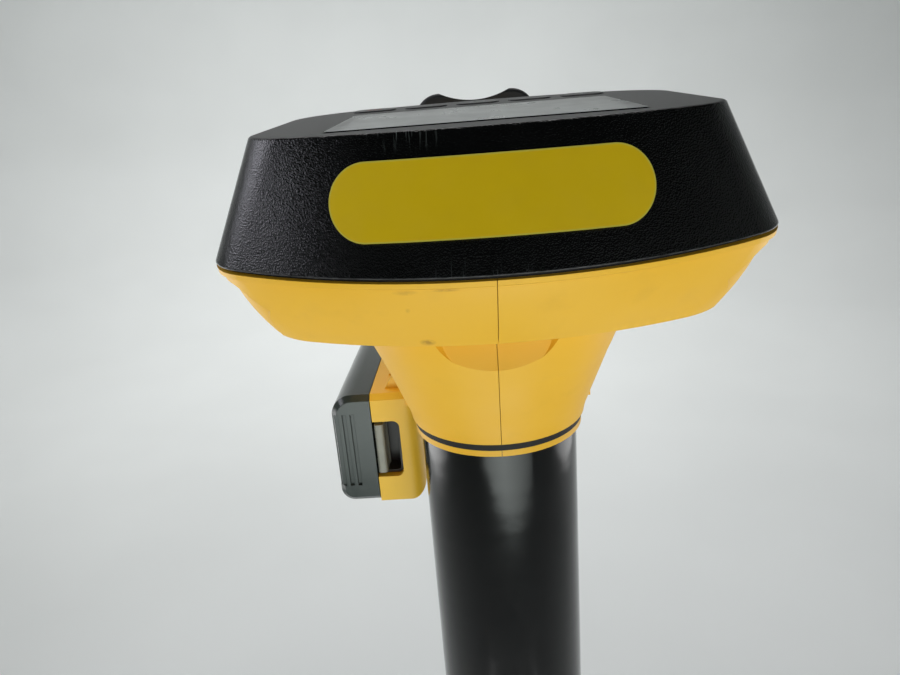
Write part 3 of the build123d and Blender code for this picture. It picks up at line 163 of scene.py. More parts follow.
def add(tree, kind, links=None, **settings):
    """Adds one shader node: settings are its properties, links gives each input a socket or a plain value."""
    node = tree.nodes.new("ShaderNode" + kind)
    for name, value in settings.items():
        setattr(node, name, value)
    for socket, value in (links or {}).items():
        if isinstance(value, bpy.types.NodeSocket):
            tree.links.new(value, node.inputs[socket])
        else:
            node.inputs[socket].default_value = value
    return node


def material(name, **values):
    """New material with the given uniform values, with its tree, its shader and Object coordinates."""
    made = bpy.data.materials.new(name)
    made.use_nodes = True
    tree = made.node_tree
    shader = tree.nodes["Principled BSDF"]
    for socket, value in values.items():
        shader.inputs[socket.replace("_", " ").title().replace("Ior", "IOR")].default_value = value
    return made, tree, shader, add(tree, "TexCoord").outputs["Object"]


def blotches(tree, place, size, detail=2.0, low=0.35, high=0.65):
    """Soft patches about that many millimetres wide, from 0 to 1."""
    noise = add(tree, "TexNoise", {"Vector": place, "Scale": per_mm(size), "Detail": detail})
    return add(tree, "MapRange", {0: noise.outputs[0], 1: low, 2: high}).outputs[0]


def two_tone(tree, factor, first, second):
    """Mixes two colours, each a hex code or a socket."""
    ends = [linear(c) if isinstance(c, str) else c for c in (first, second)]
    return add(tree, "Mix", {0: factor, 6: ends[0], 7: ends[1]}, data_type="RGBA").outputs[2]


def roughness_between(tree, shader, factor, low, high):
    """Roughness that goes from low to high as the factor goes from 0 to 1."""
    spread = add(tree, "MapRange", {0: factor, 3: low, 4: high}).outputs[0]
    tree.links.new(spread, shader.inputs["Roughness"])


def relief(tree, shader, height, depth, strength=1.0, edge=0.0):
    """Bump of that depth in millimetres, over edges softened by that radius in millimetres."""
    links = {"Height": height, "Distance": depth * MM, "Strength": strength}
    if edge:
        links["Normal"] = add(tree, "Bevel", {"Radius": edge * MM}, samples=6).outputs[0]
    tree.links.new(add(tree, "Bump", links).outputs[0], shader.inputs["Normal"])


def zone(tree, value, start, full, end, gone):
    """1 between full and end, falling to 0 at start and gone: limits in mm for a value in metres."""
    rise = add(tree, "MapRange", {0: value, 1: start * MM, 2: full * MM}).outputs[0]
    fall = add(tree, "MapRange", {0: value, 1: end * MM, 2: gone * MM, 3: 1.0, 4: 0.0}).outputs[0]
    return times(tree, rise, fall)


def near(tree, place, spot, reach):
    """1 at a spot, falling to 0 at those millimetres from it along X, Y and Z."""
    away = add(tree, "VectorMath", {0: place, 1: [c * MM for c in spot]}, operation="SUBTRACT").outputs[0]
    away = add(tree, "VectorMath", {0: away, 1: [per_mm(r) for r in reach]}, operation="MULTIPLY").outputs[0]
    away = add(tree, "VectorMath", {0: away}, operation="LENGTH").outputs["Value"]
    return add(tree, "MapRange", {0: away, 1: 0.25, 2: 1.0, 3: 1.0, 4: 0.0}).outputs[0]


def times(tree, first, second):
    return add(tree, "Math", {0: first, 1: second}, operation="MULTIPLY").outputs[0]


def along_seam(tree, place):
    """Height above the middle of the seam under the bezel, in metres."""
    upright = (0, -sin(radians(SEAM_TILT)), cos(radians(SEAM_TILT)))
    height = add(tree, "VectorMath", {0: place, 1: upright}, operation="DOT_PRODUCT").outputs["Value"]
    return add(tree, "Math", {0: height, 1: SEAM_HEIGHT * MM * upright[2]}, operation="SUBTRACT").outputs[0]


# Dirt rubbed into the yellow hull: a spot in mm, how far it reaches along X, Y and Z, and how strong it is
SMUDGES = (
    ((-16.5, -51.4, 634.2), (2.2, 3.0, 1.5), 0.62),
    ((-19.3, -63.8, 649.8), (3.2, 3.0, 0.8), 0.30),
    ((-10.6, -65.2, 650.1), (3.6, 3.0, 0.5), 0.45),
    ((-19.5, -60.5, 644.9), (0.7, 2.0, 0.9), 0.22),
)


def yellow_abs(name, main, other, rough):
    """Moulded ABS with a fine spark-eroded texture: satin, with a stepped rim and a little dirt rubbed in."""
    made, tree, shader, place = material(name, IOR=1.5)
    tone = two_tone(tree, blotches(tree, place, 45), main, other)
    grime = blotches(tree, place, 9, detail=5.0, low=0.60, high=0.78)
    tone = two_tone(tree, times(tree, grime, 0.07), tone, "#8F6A22")
    for spot, reach, strength in SMUDGES:
        mark = times(tree, near(tree, place, spot, reach), blotches(tree, place, 1.3, 3.0, 0.20, 0.52))
        tone = two_tone(tree, times(tree, mark, strength), tone, "#8A5A08")
    tree.links.new(tone, shader.inputs["Base Color"])
    roughness_between(tree, shader, blotches(tree, place, 12), rough - 0.04, rough + 0.04)
    rise = along_seam(tree, place)
    rim = add(tree, "MapRange", {0: rise, 1: -RIM_HEIGHT * MM, 2: (RIM_STEP - RIM_HEIGHT) * MM})
    grain = add(tree, "TexNoise", {"Vector": place, "Scale": per_mm(0.5), "Detail": 2.0}).outputs[0]
    height = add(tree, "Math", {0: rim.outputs[0], 1: times(tree, grain, 0.03)}).outputs[0]
    relief(tree, shader, height, RIM_CUT, 1.0, YELLOW_EDGE)
    return made


# Scuffs on the bezel's front: where each patch starts, is full, ends and is gone along X and along Z, in mm,
# with the same for both along Y, the size of a scratch along X, Y and Z and the lower patch's strength
SCUFFS = (
    ((-27, -23, -12, -9), (677.2, 681.5, 690, 700)),
    ((-18, -12, 6, 12), (640, 650, 653.6, 657.5)),
)
SCUFF_FRONT = (-80, -70, -50, -45)
SCRATCH_SIZE = (0.45, 14, 9)
LOWER_SCUFFS = 0.45

# How far up a face of the bezel looks, where its sides end and where its roof starts
SIDE_FACING = 0.8
ROOF_FACING = 0.95


def bezel_scuffs(tree, place):
    """Thin scratches down the bezel's front, from 0 to 1."""
    x, y, z = add(tree, "SeparateXYZ", {0: place}).outputs
    pitch = [per_mm(size) for size in SCRATCH_SIZE]
    stretch = add(tree, "VectorMath", {0: place, 1: pitch}, operation="MULTIPLY").outputs[0]
    streaks = add(tree, "TexNoise", {"Vector": stretch, "Scale": 1.0, "Detail": 3.0}).outputs[0]
    scratch = add(tree, "MapRange", {0: streaks, 1: 0.60, 2: 0.74}).outputs[0]
    upper, lower = (times(tree, zone(tree, x, *across), zone(tree, z, *height)) for across, height in SCUFFS)
    both = add(tree, "Math", {0: upper, 1: times(tree, lower, LOWER_SCUFFS)}, operation="MAXIMUM").outputs[0]
    return times(tree, scratch, times(tree, both, zone(tree, y, *SCUFF_FRONT)))


def window_shade_strip(tree, place):
    """1 in the strip before the display window whose reflection is taken away as a painted shadow line, 0 on
    the rest of the roof.
    """
    x, y, _ = add(tree, "SeparateXYZ", {0: place}).outputs
    along = zone(tree, y, WINDOW_FRONT - SHADE_STRIP, WINDOW_FRONT - 0.9 * SHADE_STRIP, 0, 1)
    across = zone(tree, x, -WINDOW_HALF, 1 - WINDOW_HALF, WINDOW_HALF - 1, WINDOW_HALF)
    return times(tree, along, across)


def grained_abs():
    """Moulded black ABS: a leather grain that sparkles in raking light, finely etched on the roof instead."""
    made, tree, shader, place = material("leather_grained_abs", IOR=1.5)
    warp = add(tree, "TexNoise", {"Vector": place, "Scale": per_mm(0.6), "Detail": 2.0})
    drift = add(tree, "VectorMath", {0: warp.outputs["Color"], 3: 0.2 * MM}, operation="SCALE").outputs[0]
    bent = add(tree, "VectorMath", {0: place, 1: drift}).outputs[0]
    cells = add(tree, "TexVoronoi", {"Vector": bent, "Scale": per_mm(0.42)})
    fine = add(tree, "TexNoise", {"Vector": place, "Scale": per_mm(0.32), "Detail": 1.0})
    height = add(tree, "Mix", {0: 0.35, 2: cells.outputs["Distance"], 3: fine.outputs[0]}).outputs[0]
    facing = add(tree, "SeparateXYZ", {0: add(tree, "NewGeometry").outputs["Normal"]}).outputs[2]
    on_top = add(tree, "MapRange", {0: facing, 1: SIDE_FACING, 2: ROOF_FACING}).outputs[0]
    grain = add(tree, "MapRange", {0: on_top, 3: 0.85, 4: 0.06}).outputs[0]
    relief(tree, shader, height, 0.12, grain, ABS_EDGE)
    tone = two_tone(tree, times(tree, blotches(tree, place, 18, 4.0, 0.4, 0.75), 0.05), "#030404", "#3A3B3C")
    tone = two_tone(tree, times(tree, bezel_scuffs(tree, place), 0.45), tone, "#7D8483")
    # Painted highlight: a pale band along the bezel's lower edge where its rounding catches the light, broken
    # into patches like rubbed wear.
    edge = SEAM_EDGE
    rubbed = zone(tree, along_seam(tree, place), -edge, 0.8 * edge, 1.1 * edge, 1.6 * edge)
    tone = two_tone(tree, times(tree, rubbed, blotches(tree, place, 2.5, 4.0, 0.2, 0.7)), tone, "#5A5A5B")
    tree.links.new(tone, shader.inputs["Base Color"])
    roughness_between(tree, shader, on_top, 0.20, 0.45)
    # Painted shade: the roof gives no reflection in the strip before the window, so it reads as a dark shadow
    # line.
    shade_strip = times(tree, window_shade_strip(tree, place), on_top)
    shine = add(tree, "MapRange", {0: shade_strip, 3: 0.5, 4: 0.0}).outputs[0]
    tree.links.new(shine, shader.inputs["Specular IOR Level"])
    return made


def plate_film():
    """Printed polyester film: smooth, olive yellow, with a thin pale line painted just inside its edge as the
    highlight on its rim.
    """
    made, tree, shader, place = material("printed_plate_film", IOR=1.5)
    low, high = box_mm("name_plate")
    end_radius = (high.z - low.z) / 2
    x, _, z = add(tree, "SeparateXYZ", {0: place}).outputs
    across = add(tree, "Math", {0: x}, operation="ABSOLUTE").outputs[0]
    across = add(tree, "Math", {0: across, 1: (high.x - end_radius) * MM}, operation="SUBTRACT").outputs[0]
    across = add(tree, "Math", {0: across, 1: 0.0}, operation="MAXIMUM").outputs[0]
    rise = add(tree, "Math", {0: z, 1: (high.z + low.z) / 2 * MM}, operation="SUBTRACT").outputs[0]
    spread = add(tree, "CombineXYZ", {0: across, 1: rise}).outputs[0]
    reach = add(tree, "VectorMath", {0: spread}, operation="LENGTH").outputs["Value"]
    # Painted highlight: a pale line just inside the plate's rounded edge.
    inner = (end_radius - PLATE_HIGHLIGHT) * MM
    edge_highlight = add(tree, "MapRange", {0: reach, 1: inner, 2: inner + HIGHLIGHT_SOFTNESS * MM}).outputs[0]
    tone = two_tone(tree, blotches(tree, place, 16, 3.0), "#DBB811", "#DFBC15")
    tone = two_tone(tree, edge_highlight, tone, "#CFC04A")
    tree.links.new(tone, shader.inputs["Base Color"])
    roughness_between(tree, shader, blotches(tree, place, 5), 0.30, 0.38)
    peel = add(tree, "TexNoise", {"Vector": place, "Scale": per_mm(2.5), "Detail": 1.0}).outputs[0]
    relief(tree, shader, peel, 0.02, 0.3)
    return made


def moulded(name, main, worn, rough, grain=0.45, depth=0.03):
    """Moulded plastic with a fine even texture and paler rubbed patches."""
    made, tree, shader, place = material(name, IOR=1.5)
    rubbed = blotches(tree, place, 14, 4.0, 0.42, 0.78)
    tree.links.new(two_tone(tree, rubbed, main, worn), shader.inputs["Base Color"])
    roughness_between(tree, shader, rubbed, rough - 0.05, rough + 0.06)
    texture = add(tree, "TexNoise", {"Vector": place, "Scale": per_mm(grain), "Detail": 2.0}).outputs[0]
    relief(tree, shader, texture, depth, 0.5, ABS_EDGE)
    return made


def rubber(name, main, dusty, rough=0.62, grain=0.5, depth=0.06):
    """Moulded rubber: dull, finely pebbled, with pale dust held in the pebbles."""
    made, tree, shader, place = material(name, IOR=1.52)
    cells = add(tree, "TexVoronoi", {"Vector": place, "Scale": per_mm(grain)}, feature="SMOOTH_F1")
    dust = times(tree, blotches(tree, place, 22, 5.0, 0.45, 0.8), 0.6)
    tree.links.new(two_tone(tree, dust, main, dusty), shader.inputs["Base Color"])
    roughness_between(tree, shader, dust, rough - 0.06, rough + 0.12)
    relief(tree, shader, cells.outputs[0], depth, 0.5)
    return made


def lacquered_tube():
    """Wound glass-fibre tube under black lacquer: deep gloss, slightly wavy, with faint windings and dust."""
    made, tree, shader, place = material("lacquered_fibre_tube", IOR=1.5)
    dust = times(tree, blotches(tree, place, 3.5, 6.0, 0.52, 0.85), 0.3)
    tree.links.new(two_tone(tree, dust, "#060707", "#1A1C1B"), shader.inputs["Base Color"])
    roughness_between(tree, shader, blotches(tree, place, 25, 4.0), 0.10, 0.17)
    links = {"Vector": place, "Scale": per_mm(22), "Distortion": 1.5}
    winding = add(tree, "TexWave", links, bands_direction="Z")
    orange_peel = add(tree, "TexNoise", {"Vector": place, "Scale": per_mm(4), "Detail": 2.0}).outputs[0]
    height = add(tree, "Mix", {0: 0.7, 2: winding.outputs["Fac"], 3: orange_peel}).outputs[0]
    relief(tree, shader, height, 0.05, 0.4)
    return made


def window_glass():
    """Clear window etched against glare: a soft even sheen instead of a mirror, over a dim display."""
    made, tree, shader, place = material("etched_window_glass", IOR=1.46, Transmission_Weight=1.0)
    shader.inputs["Base Color"].default_value = linear("#F4F7F6")
    roughness_between(tree, shader, blotches(tree, place, 10, 4.0), 0.27, 0.33)
    return made


def display_layer(name, main, other):
    """Printed or polarised layer of the display: matt, with a very fine dot grid."""
    made, tree, shader, place = material(name, IOR=1.45)
    dots = add(tree, "TexVoronoi", {"Vector": place, "Scale": per_mm(0.6), "Randomness": 0.0}).outputs[0]
    tree.links.new(two_tone(tree, times(tree, dots, 0.6), main, other), shader.inputs["Base Color"])
    roughness_between(tree, shader, blotches(tree, place, 8), 0.32, 0.42)
    return made


def plated(name, main, shade, rough):
    """Plated metal: bright, with soft uneven polish."""
    made, tree, shader, place = material(name, Metallic=1.0)
    uneven = blotches(tree, place, 1.5, 4.0)
    tree.links.new(two_tone(tree, uneven, main, shade), shader.inputs["Base Color"])
    roughness_between(tree, shader, uneven, rough - 0.08, rough + 0.1)
    return made


def copper_wire():
    """Enamelled copper wire wound in close turns."""
    made, tree, shader, place = material("enamelled_copper", Metallic=1.0, Roughness=0.3)
    turns = add(tree, "TexWave", {"Vector": place, "Scale": per_mm(3), "Distortion": 0.6}).outputs["Fac"]
    tree.links.new(two_tone(tree, turns, "#7A3A1C", "#C07038"), shader.inputs["Base Color"])
    relief(tree, shader, turns, 0.1, 0.6)
    return made


def cell_wrap():
    """Battery cell: shrink-wrapped plastic with bare nickel-plated steel at both ends."""
    made, tree, shader, place = material("shrink_wrapped_cell", IOR=1.5)
    y = add(tree, "SeparateXYZ", {0: place}).outputs[1]
    low, high = box_mm("battery_cells")
    front, rear = low.y + BARE_FRONT, high.y - BARE_REAR
    wrapped = zone(tree, y, front - WRAP_EDGE, front, rear, rear + WRAP_EDGE)
    start, end = high.y - BAND_START, high.y - BAND_END
    band = zone(tree, y, start - WRAP_EDGE, start, end, end + WRAP_EDGE)
    tone = two_tone(tree, band, "#2C6AA6", "#E8E8E4")
    tone = two_tone(tree, wrapped, "#B9B7B0", tone)
    tree.links.new(tone, shader.inputs["Base Color"])
    metal = add(tree, "Math", {0: 1.0, 1: wrapped}, operation="SUBTRACT").outputs[0]
    tree.links.new(metal, shader.inputs["Metallic"])
    roughness_between(tree, shader, blotches(tree, place, 6), 0.24, 0.34)
    return made


def paint_nodes():
    """Gives every CAD node its finish."""
    black = moulded("fine_black_abs", "#1B1D1E", "#2A2D2E", 0.42)
    steel = plated("zinc_plated_steel", "#9FA1A3", "#77797C", 0.34)
    nickel = plated("nickel_plate", "#C4C0B6", "#989388", 0.24)
    keys = rubber("silicone_key", "#1A1B1C", "#2A2B2D", 0.45, 0.6, 0.01)
    grip = rubber("grip_rubber", "#151617", "#34363A", 0.6, 0.8)
    seal = rubber("seal_rubber", "#080808", "#1A1916", 0.75, 0.4)
    copper = copper_wire()
    spine = moulded("natural_nylon", "#D9D6CB", "#C9C5B8", 0.5)
    yellow = yellow_abs("satin_yellow_abs", "#E9B325", "#EDB92E", 0.5)
    finishes = {
        "left_housing": yellow, "right_housing": yellow,
        # Painted light: the cradle takes a paler copy of the housing's yellow, standing for the stronger
        # light on its front.
        "battery_cradle": yellow_abs("yellow_abs_painted_lighter", "#F8C433", "#FAC93C", 0.46),
        "bezel": grained_abs(), "name_plate": plate_film(), "display_window": window_glass(),
        "head_gasket": seal, "neck_band": seal,
        "lcd_module": display_layer("display_carrier", "#1A1B1C", "#242627"),
        "main_board": moulded("solder_mask", "#1F5A35", "#2A6B42", 0.35),
        "board_chips": moulded("chip_epoxy", "#1C1D1F", "#2B2C2E", 0.5),
        "mast": lacquered_tube(),
        "battery_cover": moulded("slate_abs", "#303836", "#3A4240", 0.20),
        # The latch case is black plastic at the back of the cradle's recess; its brown tint is painted bounce
        # light and shade from the yellow recess.
        "latch_case": moulded("brown_black_abs", "#241F1C", "#2E2825", 0.45),
        "handle_end_cap": black, "foot_cup": black,
        "speaker": moulded("speaker_cloth", "#18191A", "#232425", 0.8, 0.35, 0.1),
        "latch_lever": moulded("grey_acetal", "#8E8E83", "#A2A297", 0.4),
        "handle_grip": grip, "foot_pad": grip,
        "antenna_spine": spine, "spine_spacers": spine,
        "lower_ferrite": moulded("fired_ferrite", "#2B2C2E", "#3A3B3E", 0.6),
        "lower_windings": copper, "upper_windings": copper, "null_coil": copper,
        "antenna_lead": rubber("lead_jacket", "#161617", "#2C2C2E", 0.5),
        "battery_cells": cell_wrap(),
        "cell_pad": rubber("closed_cell_foam", "#3B3C3E", "#515355", 0.85, 0.9),
        "port_flap": keys,
    }
    finishes["upper_ferrite"] = finishes["lower_ferrite"]
    for name in ("board_screws", "bezel_screws", "housing_screws", "foot_screws", "cradle_screws",
                 "cover_hinge_pin", "latch_pin", "flap_pin", "charge_port"):
        finishes[name] = steel
    for name in ("dome_switches", "cell_springs", "cell_contact", "latch_spring", "accessory_jack"):
        finishes[name] = nickel
    for name in KEYS:
        finishes["key_" + name] = keys
    for name, finish in finishes.items():
        nodes[name].data.materials.clear()
        nodes[name].data.materials.append(finish)
    return {"nickel": nickel, "grip": grip}


def piece(name, bm, finish, body, smooth=False):
    """Turns a bmesh that is already in place into a piece of the object."""
    bmesh.ops.remove_doubles(bm, verts=bm.verts, dist=1e-7)
    bmesh.ops.recalc_face_normals(bm, faces=bm.faces)
    mesh = bpy.data.meshes.new(name)
    bm.to_mesh(mesh)
    bm.free()
    mesh.materials.append(finish)
    mesh.polygons.foreach_set("use_smooth", [smooth] * len(mesh.polygons))
    made = bpy.data.objects.new(name, mesh)
    scene.collection.objects.link(made)
    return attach(made, body)


def roof_matrix():
    """From mm on the roof, with +Z along its normal, to the row frame in metres."""
    turn = Matrix.Rotation(radians(ROOF_TILT), 4, "X")
    return Matrix.Translation((0, 0, ROOF_HEIGHT * MM)) @ turn @ Matrix.Scale(MM, 4)


def slab(bm, x, y, z, size):
    """Box on the roof: its middle, the height of its lower face and its three sizes."""
    made = bmesh.ops.create_cube(bm, size=1.0)["verts"]
    bmesh.ops.scale(bm, vec=size, verts=made)
    bmesh.ops.translate(bm, vec=(x, y, z + size[2] / 2), verts=made)


def arc_line(bm, x, y, z, radius, line, height, start, sweep):
    """Flat curved line on the roof: a small section spun about a middle, angles in degrees."""
    inner, outer = radius - line / 2, radius + line / 2
    corners = ((inner, 0), (outer, 0), (outer, height), (inner, height))
    loop = [bm.verts.new((r, 0, z + h)) for r, h in corners]
    section = bm.faces.new(loop)
    whole = sweep == 360
    bmesh.ops.rotate(bm, verts=loop, cent=(0, 0, 0), matrix=Matrix.Rotation(radians(start), 3, "Z"))
    bmesh.ops.translate(bm, vec=(x, y, 0), verts=loop)
    geometry = loop + section.edges[:]
    if not whole:
        geometry.append(section)
    else:
        bmesh.ops.delete(bm, geom=[section], context="FACES_ONLY")
    bmesh.ops.spin(bm, geom=geometry, cent=(x, y, 0), axis=(0, 0, 1), angle=radians(sweep), steps=ARC_STEPS,
                   use_merge=whole)


def on_roof(name, bm, finish, body):
    bmesh.ops.transform(bm, matrix=roof_matrix(), verts=bm.verts)
    return piece(name, bm, finish, body)


def display_layers():
    """What lies on the display: a black printed mask, the grey active area and the faint segments in it."""
    mask = bmesh.new()
    slab(mask, 0, SCREEN_Y, SCREEN_FACE, (*MASK_SIZE, FILM))
    print_black = display_layer("mask_print", "#121314", "#1A1B1C")
    on_roof("display_mask", mask, print_black, "instrument")
    active = bmesh.new()
    slab(active, 0, SCREEN_Y, SCREEN_FACE, (*ACTIVE_SIZE, 2 * FILM))
    glass = display_layer("polarised_glass", "#8C958B", "#858E84")
    on_roof("display_area", active, glass, "instrument")
    marks = bmesh.new()
    top = SCREEN_FACE + FILM
    height = 2 * FILM
    for number in range(BAR_COUNT):
        x = (number - (BAR_COUNT - 1) / 2) * BAR_PITCH
        slab(marks, x, SCREEN_Y - ACTIVE_SIZE[1] / 2 + BAR_Y, top, (*BAR_SIZE, height))
    middle = SCREEN_Y + COMPASS_Y
    for radius, line in COMPASS_RINGS:
        arc_line(marks, 0, middle, top, radius, line, height, 0, 360)
    length, line = TICK
    reach = COMPASS_RINGS[0][0]
    for side in (-1, 1):
        slab(marks, side * reach, middle, top, (length, line, height))
        slab(marks, 0, middle + side * reach, top, (line, length, height))
        start = 90 - side * 90 - ARROW_SWEEP / 2
        arc_line(marks, 0, middle, top, ARROW_RADIUS, ARROW_LINE, height, start, ARROW_SWEEP)
    x, y = BATTERY_AT[0], SCREEN_Y + BATTERY_AT[1]
    width, depth = BATTERY_SIZE
    for side in (1, -1):
        slab(marks, x, y + side * (depth - BATTERY_LINE) / 2, top, (width, BATTERY_LINE, height))
    for side in (-1, 1):
        slab(marks, x + side * (width - BATTERY_LINE) / 2, y, top, (BATTERY_LINE, depth, height))
    slab(marks, x + (width + BATTERY_TIP[0]) / 2, y, top, (*BATTERY_TIP, height))
    segments = display_layer("segment_film", "#6D766C", "#757E74")
    on_roof("display_segments", marks, segments, "instrument")


def key_signs():
    """Plain signs printed on the keys: ring broken by a bar, three lines, ring with a dot, minus and plus."""
    grey = display_layer("grey_key_print", "#8F918D", "#858783")
    red = display_layer("red_key_print", "#8A3A30", "#7E332A")
    line = SIGN_LINE
    for number, name in enumerate(KEYS):
        x = (number - (len(KEYS) - 1) / 2) * KEY_PITCH
        bm = bmesh.new()
        if name == "power":
            start, sweep = 90 + RING_GAP / 2, 360 - RING_GAP
            arc_line(bm, x, KEY_Y, KEY_TOP, SIGN_REACH, line, SIGN_HEIGHT, start, sweep)
            slab(bm, x, KEY_Y + SIGN_REACH - line, KEY_TOP, (line, 2 * SIGN_REACH - line, SIGN_HEIGHT))
        if name == "info":
            for row in (-1, 0, 1):
                slab(bm, x, KEY_Y + row * SIGN_ROWS, KEY_TOP, (2 * SIGN_REACH, line, SIGN_HEIGHT))
        if name == "enter":
            arc_line(bm, x, KEY_Y, KEY_TOP, SIGN_REACH, line, SIGN_HEIGHT, 0, 360)
            arc_line(bm, x, KEY_Y, KEY_TOP, line / 2, line, SIGN_HEIGHT, 0, 360)
        if name in ("minus", "plus"):
            slab(bm, x, KEY_Y, KEY_TOP, (2 * SIGN_REACH, line, SIGN_HEIGHT))
        if name == "plus":
            slab(bm, x, KEY_Y, KEY_TOP, (line, 2 * SIGN_REACH, SIGN_HEIGHT))
        on_roof("sign_" + name, bm, red if name == "power" else grey, "button_" + name)


def grip_ribs(finish):
    """Raised bands round the sides and underside of the hand grip, one rib repeated along it."""
    bm = bmesh.new()
    bmesh.ops.create_cube(bm, size=1.0)
    size = (GRIP_WIDTH + 2 * RIB_PROUD, RIB_WIDTH, GRIP_HEIGHT + 2 * RIB_PROUD)
    bmesh.ops.scale(bm, vec=size, verts=bm.verts)
    corners = [e for e in bm.edges if abs(e.verts[0].co.y - e.verts[1].co.y) > RIB_WIDTH / 2]
    bmesh.ops.bevel(bm, geom=corners, offset=GRIP_CORNER + RIB_PROUD, segments=CORNER_STEPS, profile=0.5,
                    affect="EDGES", material=-1)
    ends = [f for f in bm.faces if abs(f.normal.y) > 0.9]
    bmesh.ops.delete(bm, geom=ends, context="FACES_ONLY")
    bmesh.ops.bisect_plane(bm, geom=bm.verts[:] + bm.edges[:] + bm.faces[:], plane_co=(0, 0, RIB_TOP),
                           plane_no=(0, 0, 1), clear_outer=True)
    bmesh.ops.recalc_face_normals(bm, faces=bm.faces)
    bmesh.ops.solidify(bm, geom=bm.faces[:], thickness=RIB_PROUD + RIB_SINK)
    one = bm.verts[:] + bm.edges[:] + bm.faces[:]
    for number in range(1, RIB_COUNT):
        copy = bmesh.ops.duplicate(bm, geom=one)["geom"]
        moved = [v for v in copy if isinstance(v, bmesh.types.BMVert)]
        bmesh.ops.translate(bm, vec=(0, number * RIB_PITCH, 0), verts=moved)
    bmesh.ops.translate(bm, vec=(0, -(RIB_COUNT - 1) / 2 * RIB_PITCH, 0), verts=bm.verts)
    bmesh.ops.translate(bm, vec=GRIP_MIDDLE, verts=bm.verts)
    bmesh.ops.scale(bm, vec=(MM, MM, MM), verts=bm.verts)
    ribs = piece("grip_ribs", bm, finish, "instrument")
    edge = ribs.modifiers.new("rounded", "BEVEL")
    edge.width = RIB_EDGE * MM
    edge.segments = 2
    edge.limit_method = "ANGLE"


def wire_spring(name, node, spring, finish):
    """Coils of wire in place of plain CAD springs: a round section spun upwards, at each end of the node."""
    low, high = box_mm(node)
    wire, turns = spring["wire"], spring["turns"]
    axis = Vector(spring["axis"])
    side = Vector((1, 0, 0))
    reach = (high.x - low.x) / 2
    length = (high - low).dot(axis)
    steps = STEPS_PER_TURN * turns
    first = low + side * reach + (Vector((0, 1, 1)) - axis) * reach
    last = Vector(high) - side * reach - (Vector((0, 1, 1)) - axis) * reach - axis * length
    bm = bmesh.new()
    for spot in (first, last) if (last - first).length > reach else (first,):
        start = spot + axis * wire
        turn = axis.cross(side).to_track_quat("Z", "Y").to_matrix().to_4x4()
        place = Matrix.Translation(start + side * (reach - 2 * wire)) @ turn
        section = bmesh.ops.create_circle(bm, segments=WIRE_SIDES, radius=wire, cap_ends=True, matrix=place)
        ring = section["verts"]
        edges = list({e for v in ring for e in v.link_edges})
        faces = list({f for v in ring for f in v.link_faces})
        rise = axis * (length - 2 * wire) / steps
        bmesh.ops.spin(bm, geom=ring + edges + faces, cent=start, axis=axis, dvec=rise,
                       angle=2 * pi * turns, steps=steps, use_duplicate=False)
    bmesh.ops.scale(bm, vec=(MM, MM, MM), verts=bm.verts)
    made = piece(name, bm, finish, "instrument", smooth=True)
    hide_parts(node)


# Floor's section from its middle to its rim, in metres, and how far it lies under the foot
FLOOR = ((0.0, 0.0), (1.6, 0.0), (2.1, 0.08), (2.5, 0.3), (2.75, 0.7), (2.85, 1.2), (2.9, 2.6))
FLOOR_DROP = 0.0003
ROOM_LIGHT = 0.03

# Soft lamps: place and aim in metres, width and height, watts, beam and roll in degrees, colour
HEAD = (0.0, -0.03, 0.65)
LAMPS = {
    "overhead": ((-0.2, 1.55, 2.3), (-0.2, 1.8, 0.0), 2.2, 1.8, 25.2, 120, 0, "#FFFFFF"),
    "left": ((-1.37, 0.1, 1.55), HEAD, 1.1, 0.5, 1.5, 80, 0, "#F4F4FF"),
    "front": ((0.55, -1.5, 0.86), HEAD, 1.0, 0.5, 0.70, 60, 0, "#FFFFFF"),
    "reflector": ((0.0, -0.26, 0.06), (0.0, -0.04, 0.62), 0.5, 0.18, 0.22, 90, 0, "#FFFFFF"),
    "low_front": ((0.03, -0.78, 0.31), HEAD, 1.3, 0.4, 1.45, 90, -6, "#EEF7F3"),
    "low_left": ((-1.0, 0.3, 0.32), HEAD, 1.1, 0.55, 1.5, 90, 0, "#FFFFFF"),
    "low_right": ((1.0, 0.3, 0.32), HEAD, 1.1, 0.55, 1.0, 90, 0, "#FFFFFF"),
}


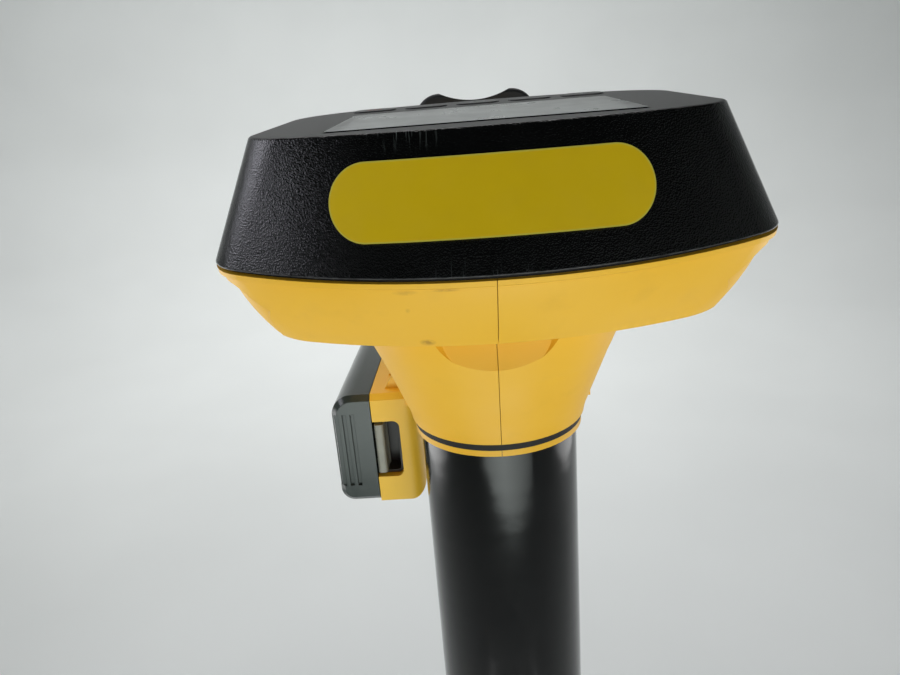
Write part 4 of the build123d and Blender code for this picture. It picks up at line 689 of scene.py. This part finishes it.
def studio():
    """Pale floor that curves up all round, with soft lamps overhead, to the left, in front and low down."""
    bm = bmesh.new()
    path = [bm.verts.new((r, 0, z - FLOOR_DROP)) for r, z in FLOOR]
    edges = [bm.edges.new(pair) for pair in zip(path, path[1:])]
    bmesh.ops.spin(bm, geom=path + edges, cent=(0, 0, 0), axis=(0, 0, 1), angle=2 * pi, steps=FLOOR_STEPS,
                   use_merge=True)
    bmesh.ops.remove_doubles(bm, verts=bm.verts, dist=1e-5)
    bmesh.ops.recalc_face_normals(bm, faces=bm.faces)
    bmesh.ops.reverse_faces(bm, faces=bm.faces)
    mesh = bpy.data.meshes.new("floor")
    bm.to_mesh(mesh)
    bm.free()
    mesh.polygons.foreach_set("use_smooth", [True] * len(mesh.polygons))
    paper, tree, shader, place = material("pale_paper", Roughness=0.9)
    tone = two_tone(tree, blotches(tree, place, 400), "#EAEDEC", "#E6E9E8")
    tree.links.new(tone, shader.inputs["Base Color"])
    mesh.materials.append(paper)
    floor = bpy.data.objects.new("floor", mesh)
    scene.collection.objects.link(floor)
    for name, (spot, aim, width, height, power, beam, roll, code) in LAMPS.items():
        lamp = bpy.data.lights.new(name, "AREA")
        lamp.shape = "RECTANGLE"
        lamp.size = width
        lamp.size_y = height
        lamp.energy = power
        lamp.spread = radians(beam)
        lamp.color = linear(code)[:3]
        stand = bpy.data.objects.new(name, lamp)
        stand.location = spot
        turn = (Vector(aim) - Vector(spot)).to_track_quat("-Z", "Y").to_matrix()
        stand.rotation_euler = (turn @ Matrix.Rotation(radians(roll), 3, "Z")).to_euler()
        stand.visible_camera = False
        scene.collection.objects.link(stand)
    world = bpy.data.worlds.new("dim_room")
    scene.world = world
    world.use_nodes = True
    sky = world.node_tree.nodes["Background"]
    sky.inputs["Color"].default_value = linear("#D8DCDC")
    sky.inputs["Strength"].default_value = ROOM_LIGHT


def camera():
    """Camera where the photograph was taken."""
    pitch, yaw, roll = (radians(a) for a in (CAMERA_PITCH, CAMERA_YAW, CAMERA_ROLL))
    ahead = Vector((sin(yaw) * cos(pitch), cos(yaw) * cos(pitch), -sin(pitch)))
    level = Vector((cos(yaw), -sin(yaw), 0))
    upright = level.cross(ahead)
    right = cos(roll) * level + sin(roll) * upright
    up = cos(roll) * upright - sin(roll) * level
    lens = bpy.data.cameras.new("camera")
    lens.sensor_width = SENSOR
    lens.lens = CAMERA_FOCAL * SENSOR / PICTURE_WIDTH
    lens.clip_start = 0.01
    made = bpy.data.objects.new("camera", lens)
    turn = Matrix((right, up, -ahead)).transposed().to_4x4()
    made.matrix_world = Matrix.Translation(Vector(CAMERA_AT) * MM) @ turn
    scene.collection.objects.link(made)
    scene.camera = made


scene.view_settings.view_transform = "Standard"
camera()
studio()
finishes = paint_nodes()
display_layers()
key_signs()
grip_ribs(finishes["grip"])
wire_spring("cell_spring_coils", "cell_springs", CELL_SPRING, finishes["nickel"])
wire_spring("latch_spring_coil", "latch_spring", LATCH_SPRING, finishes["nickel"])
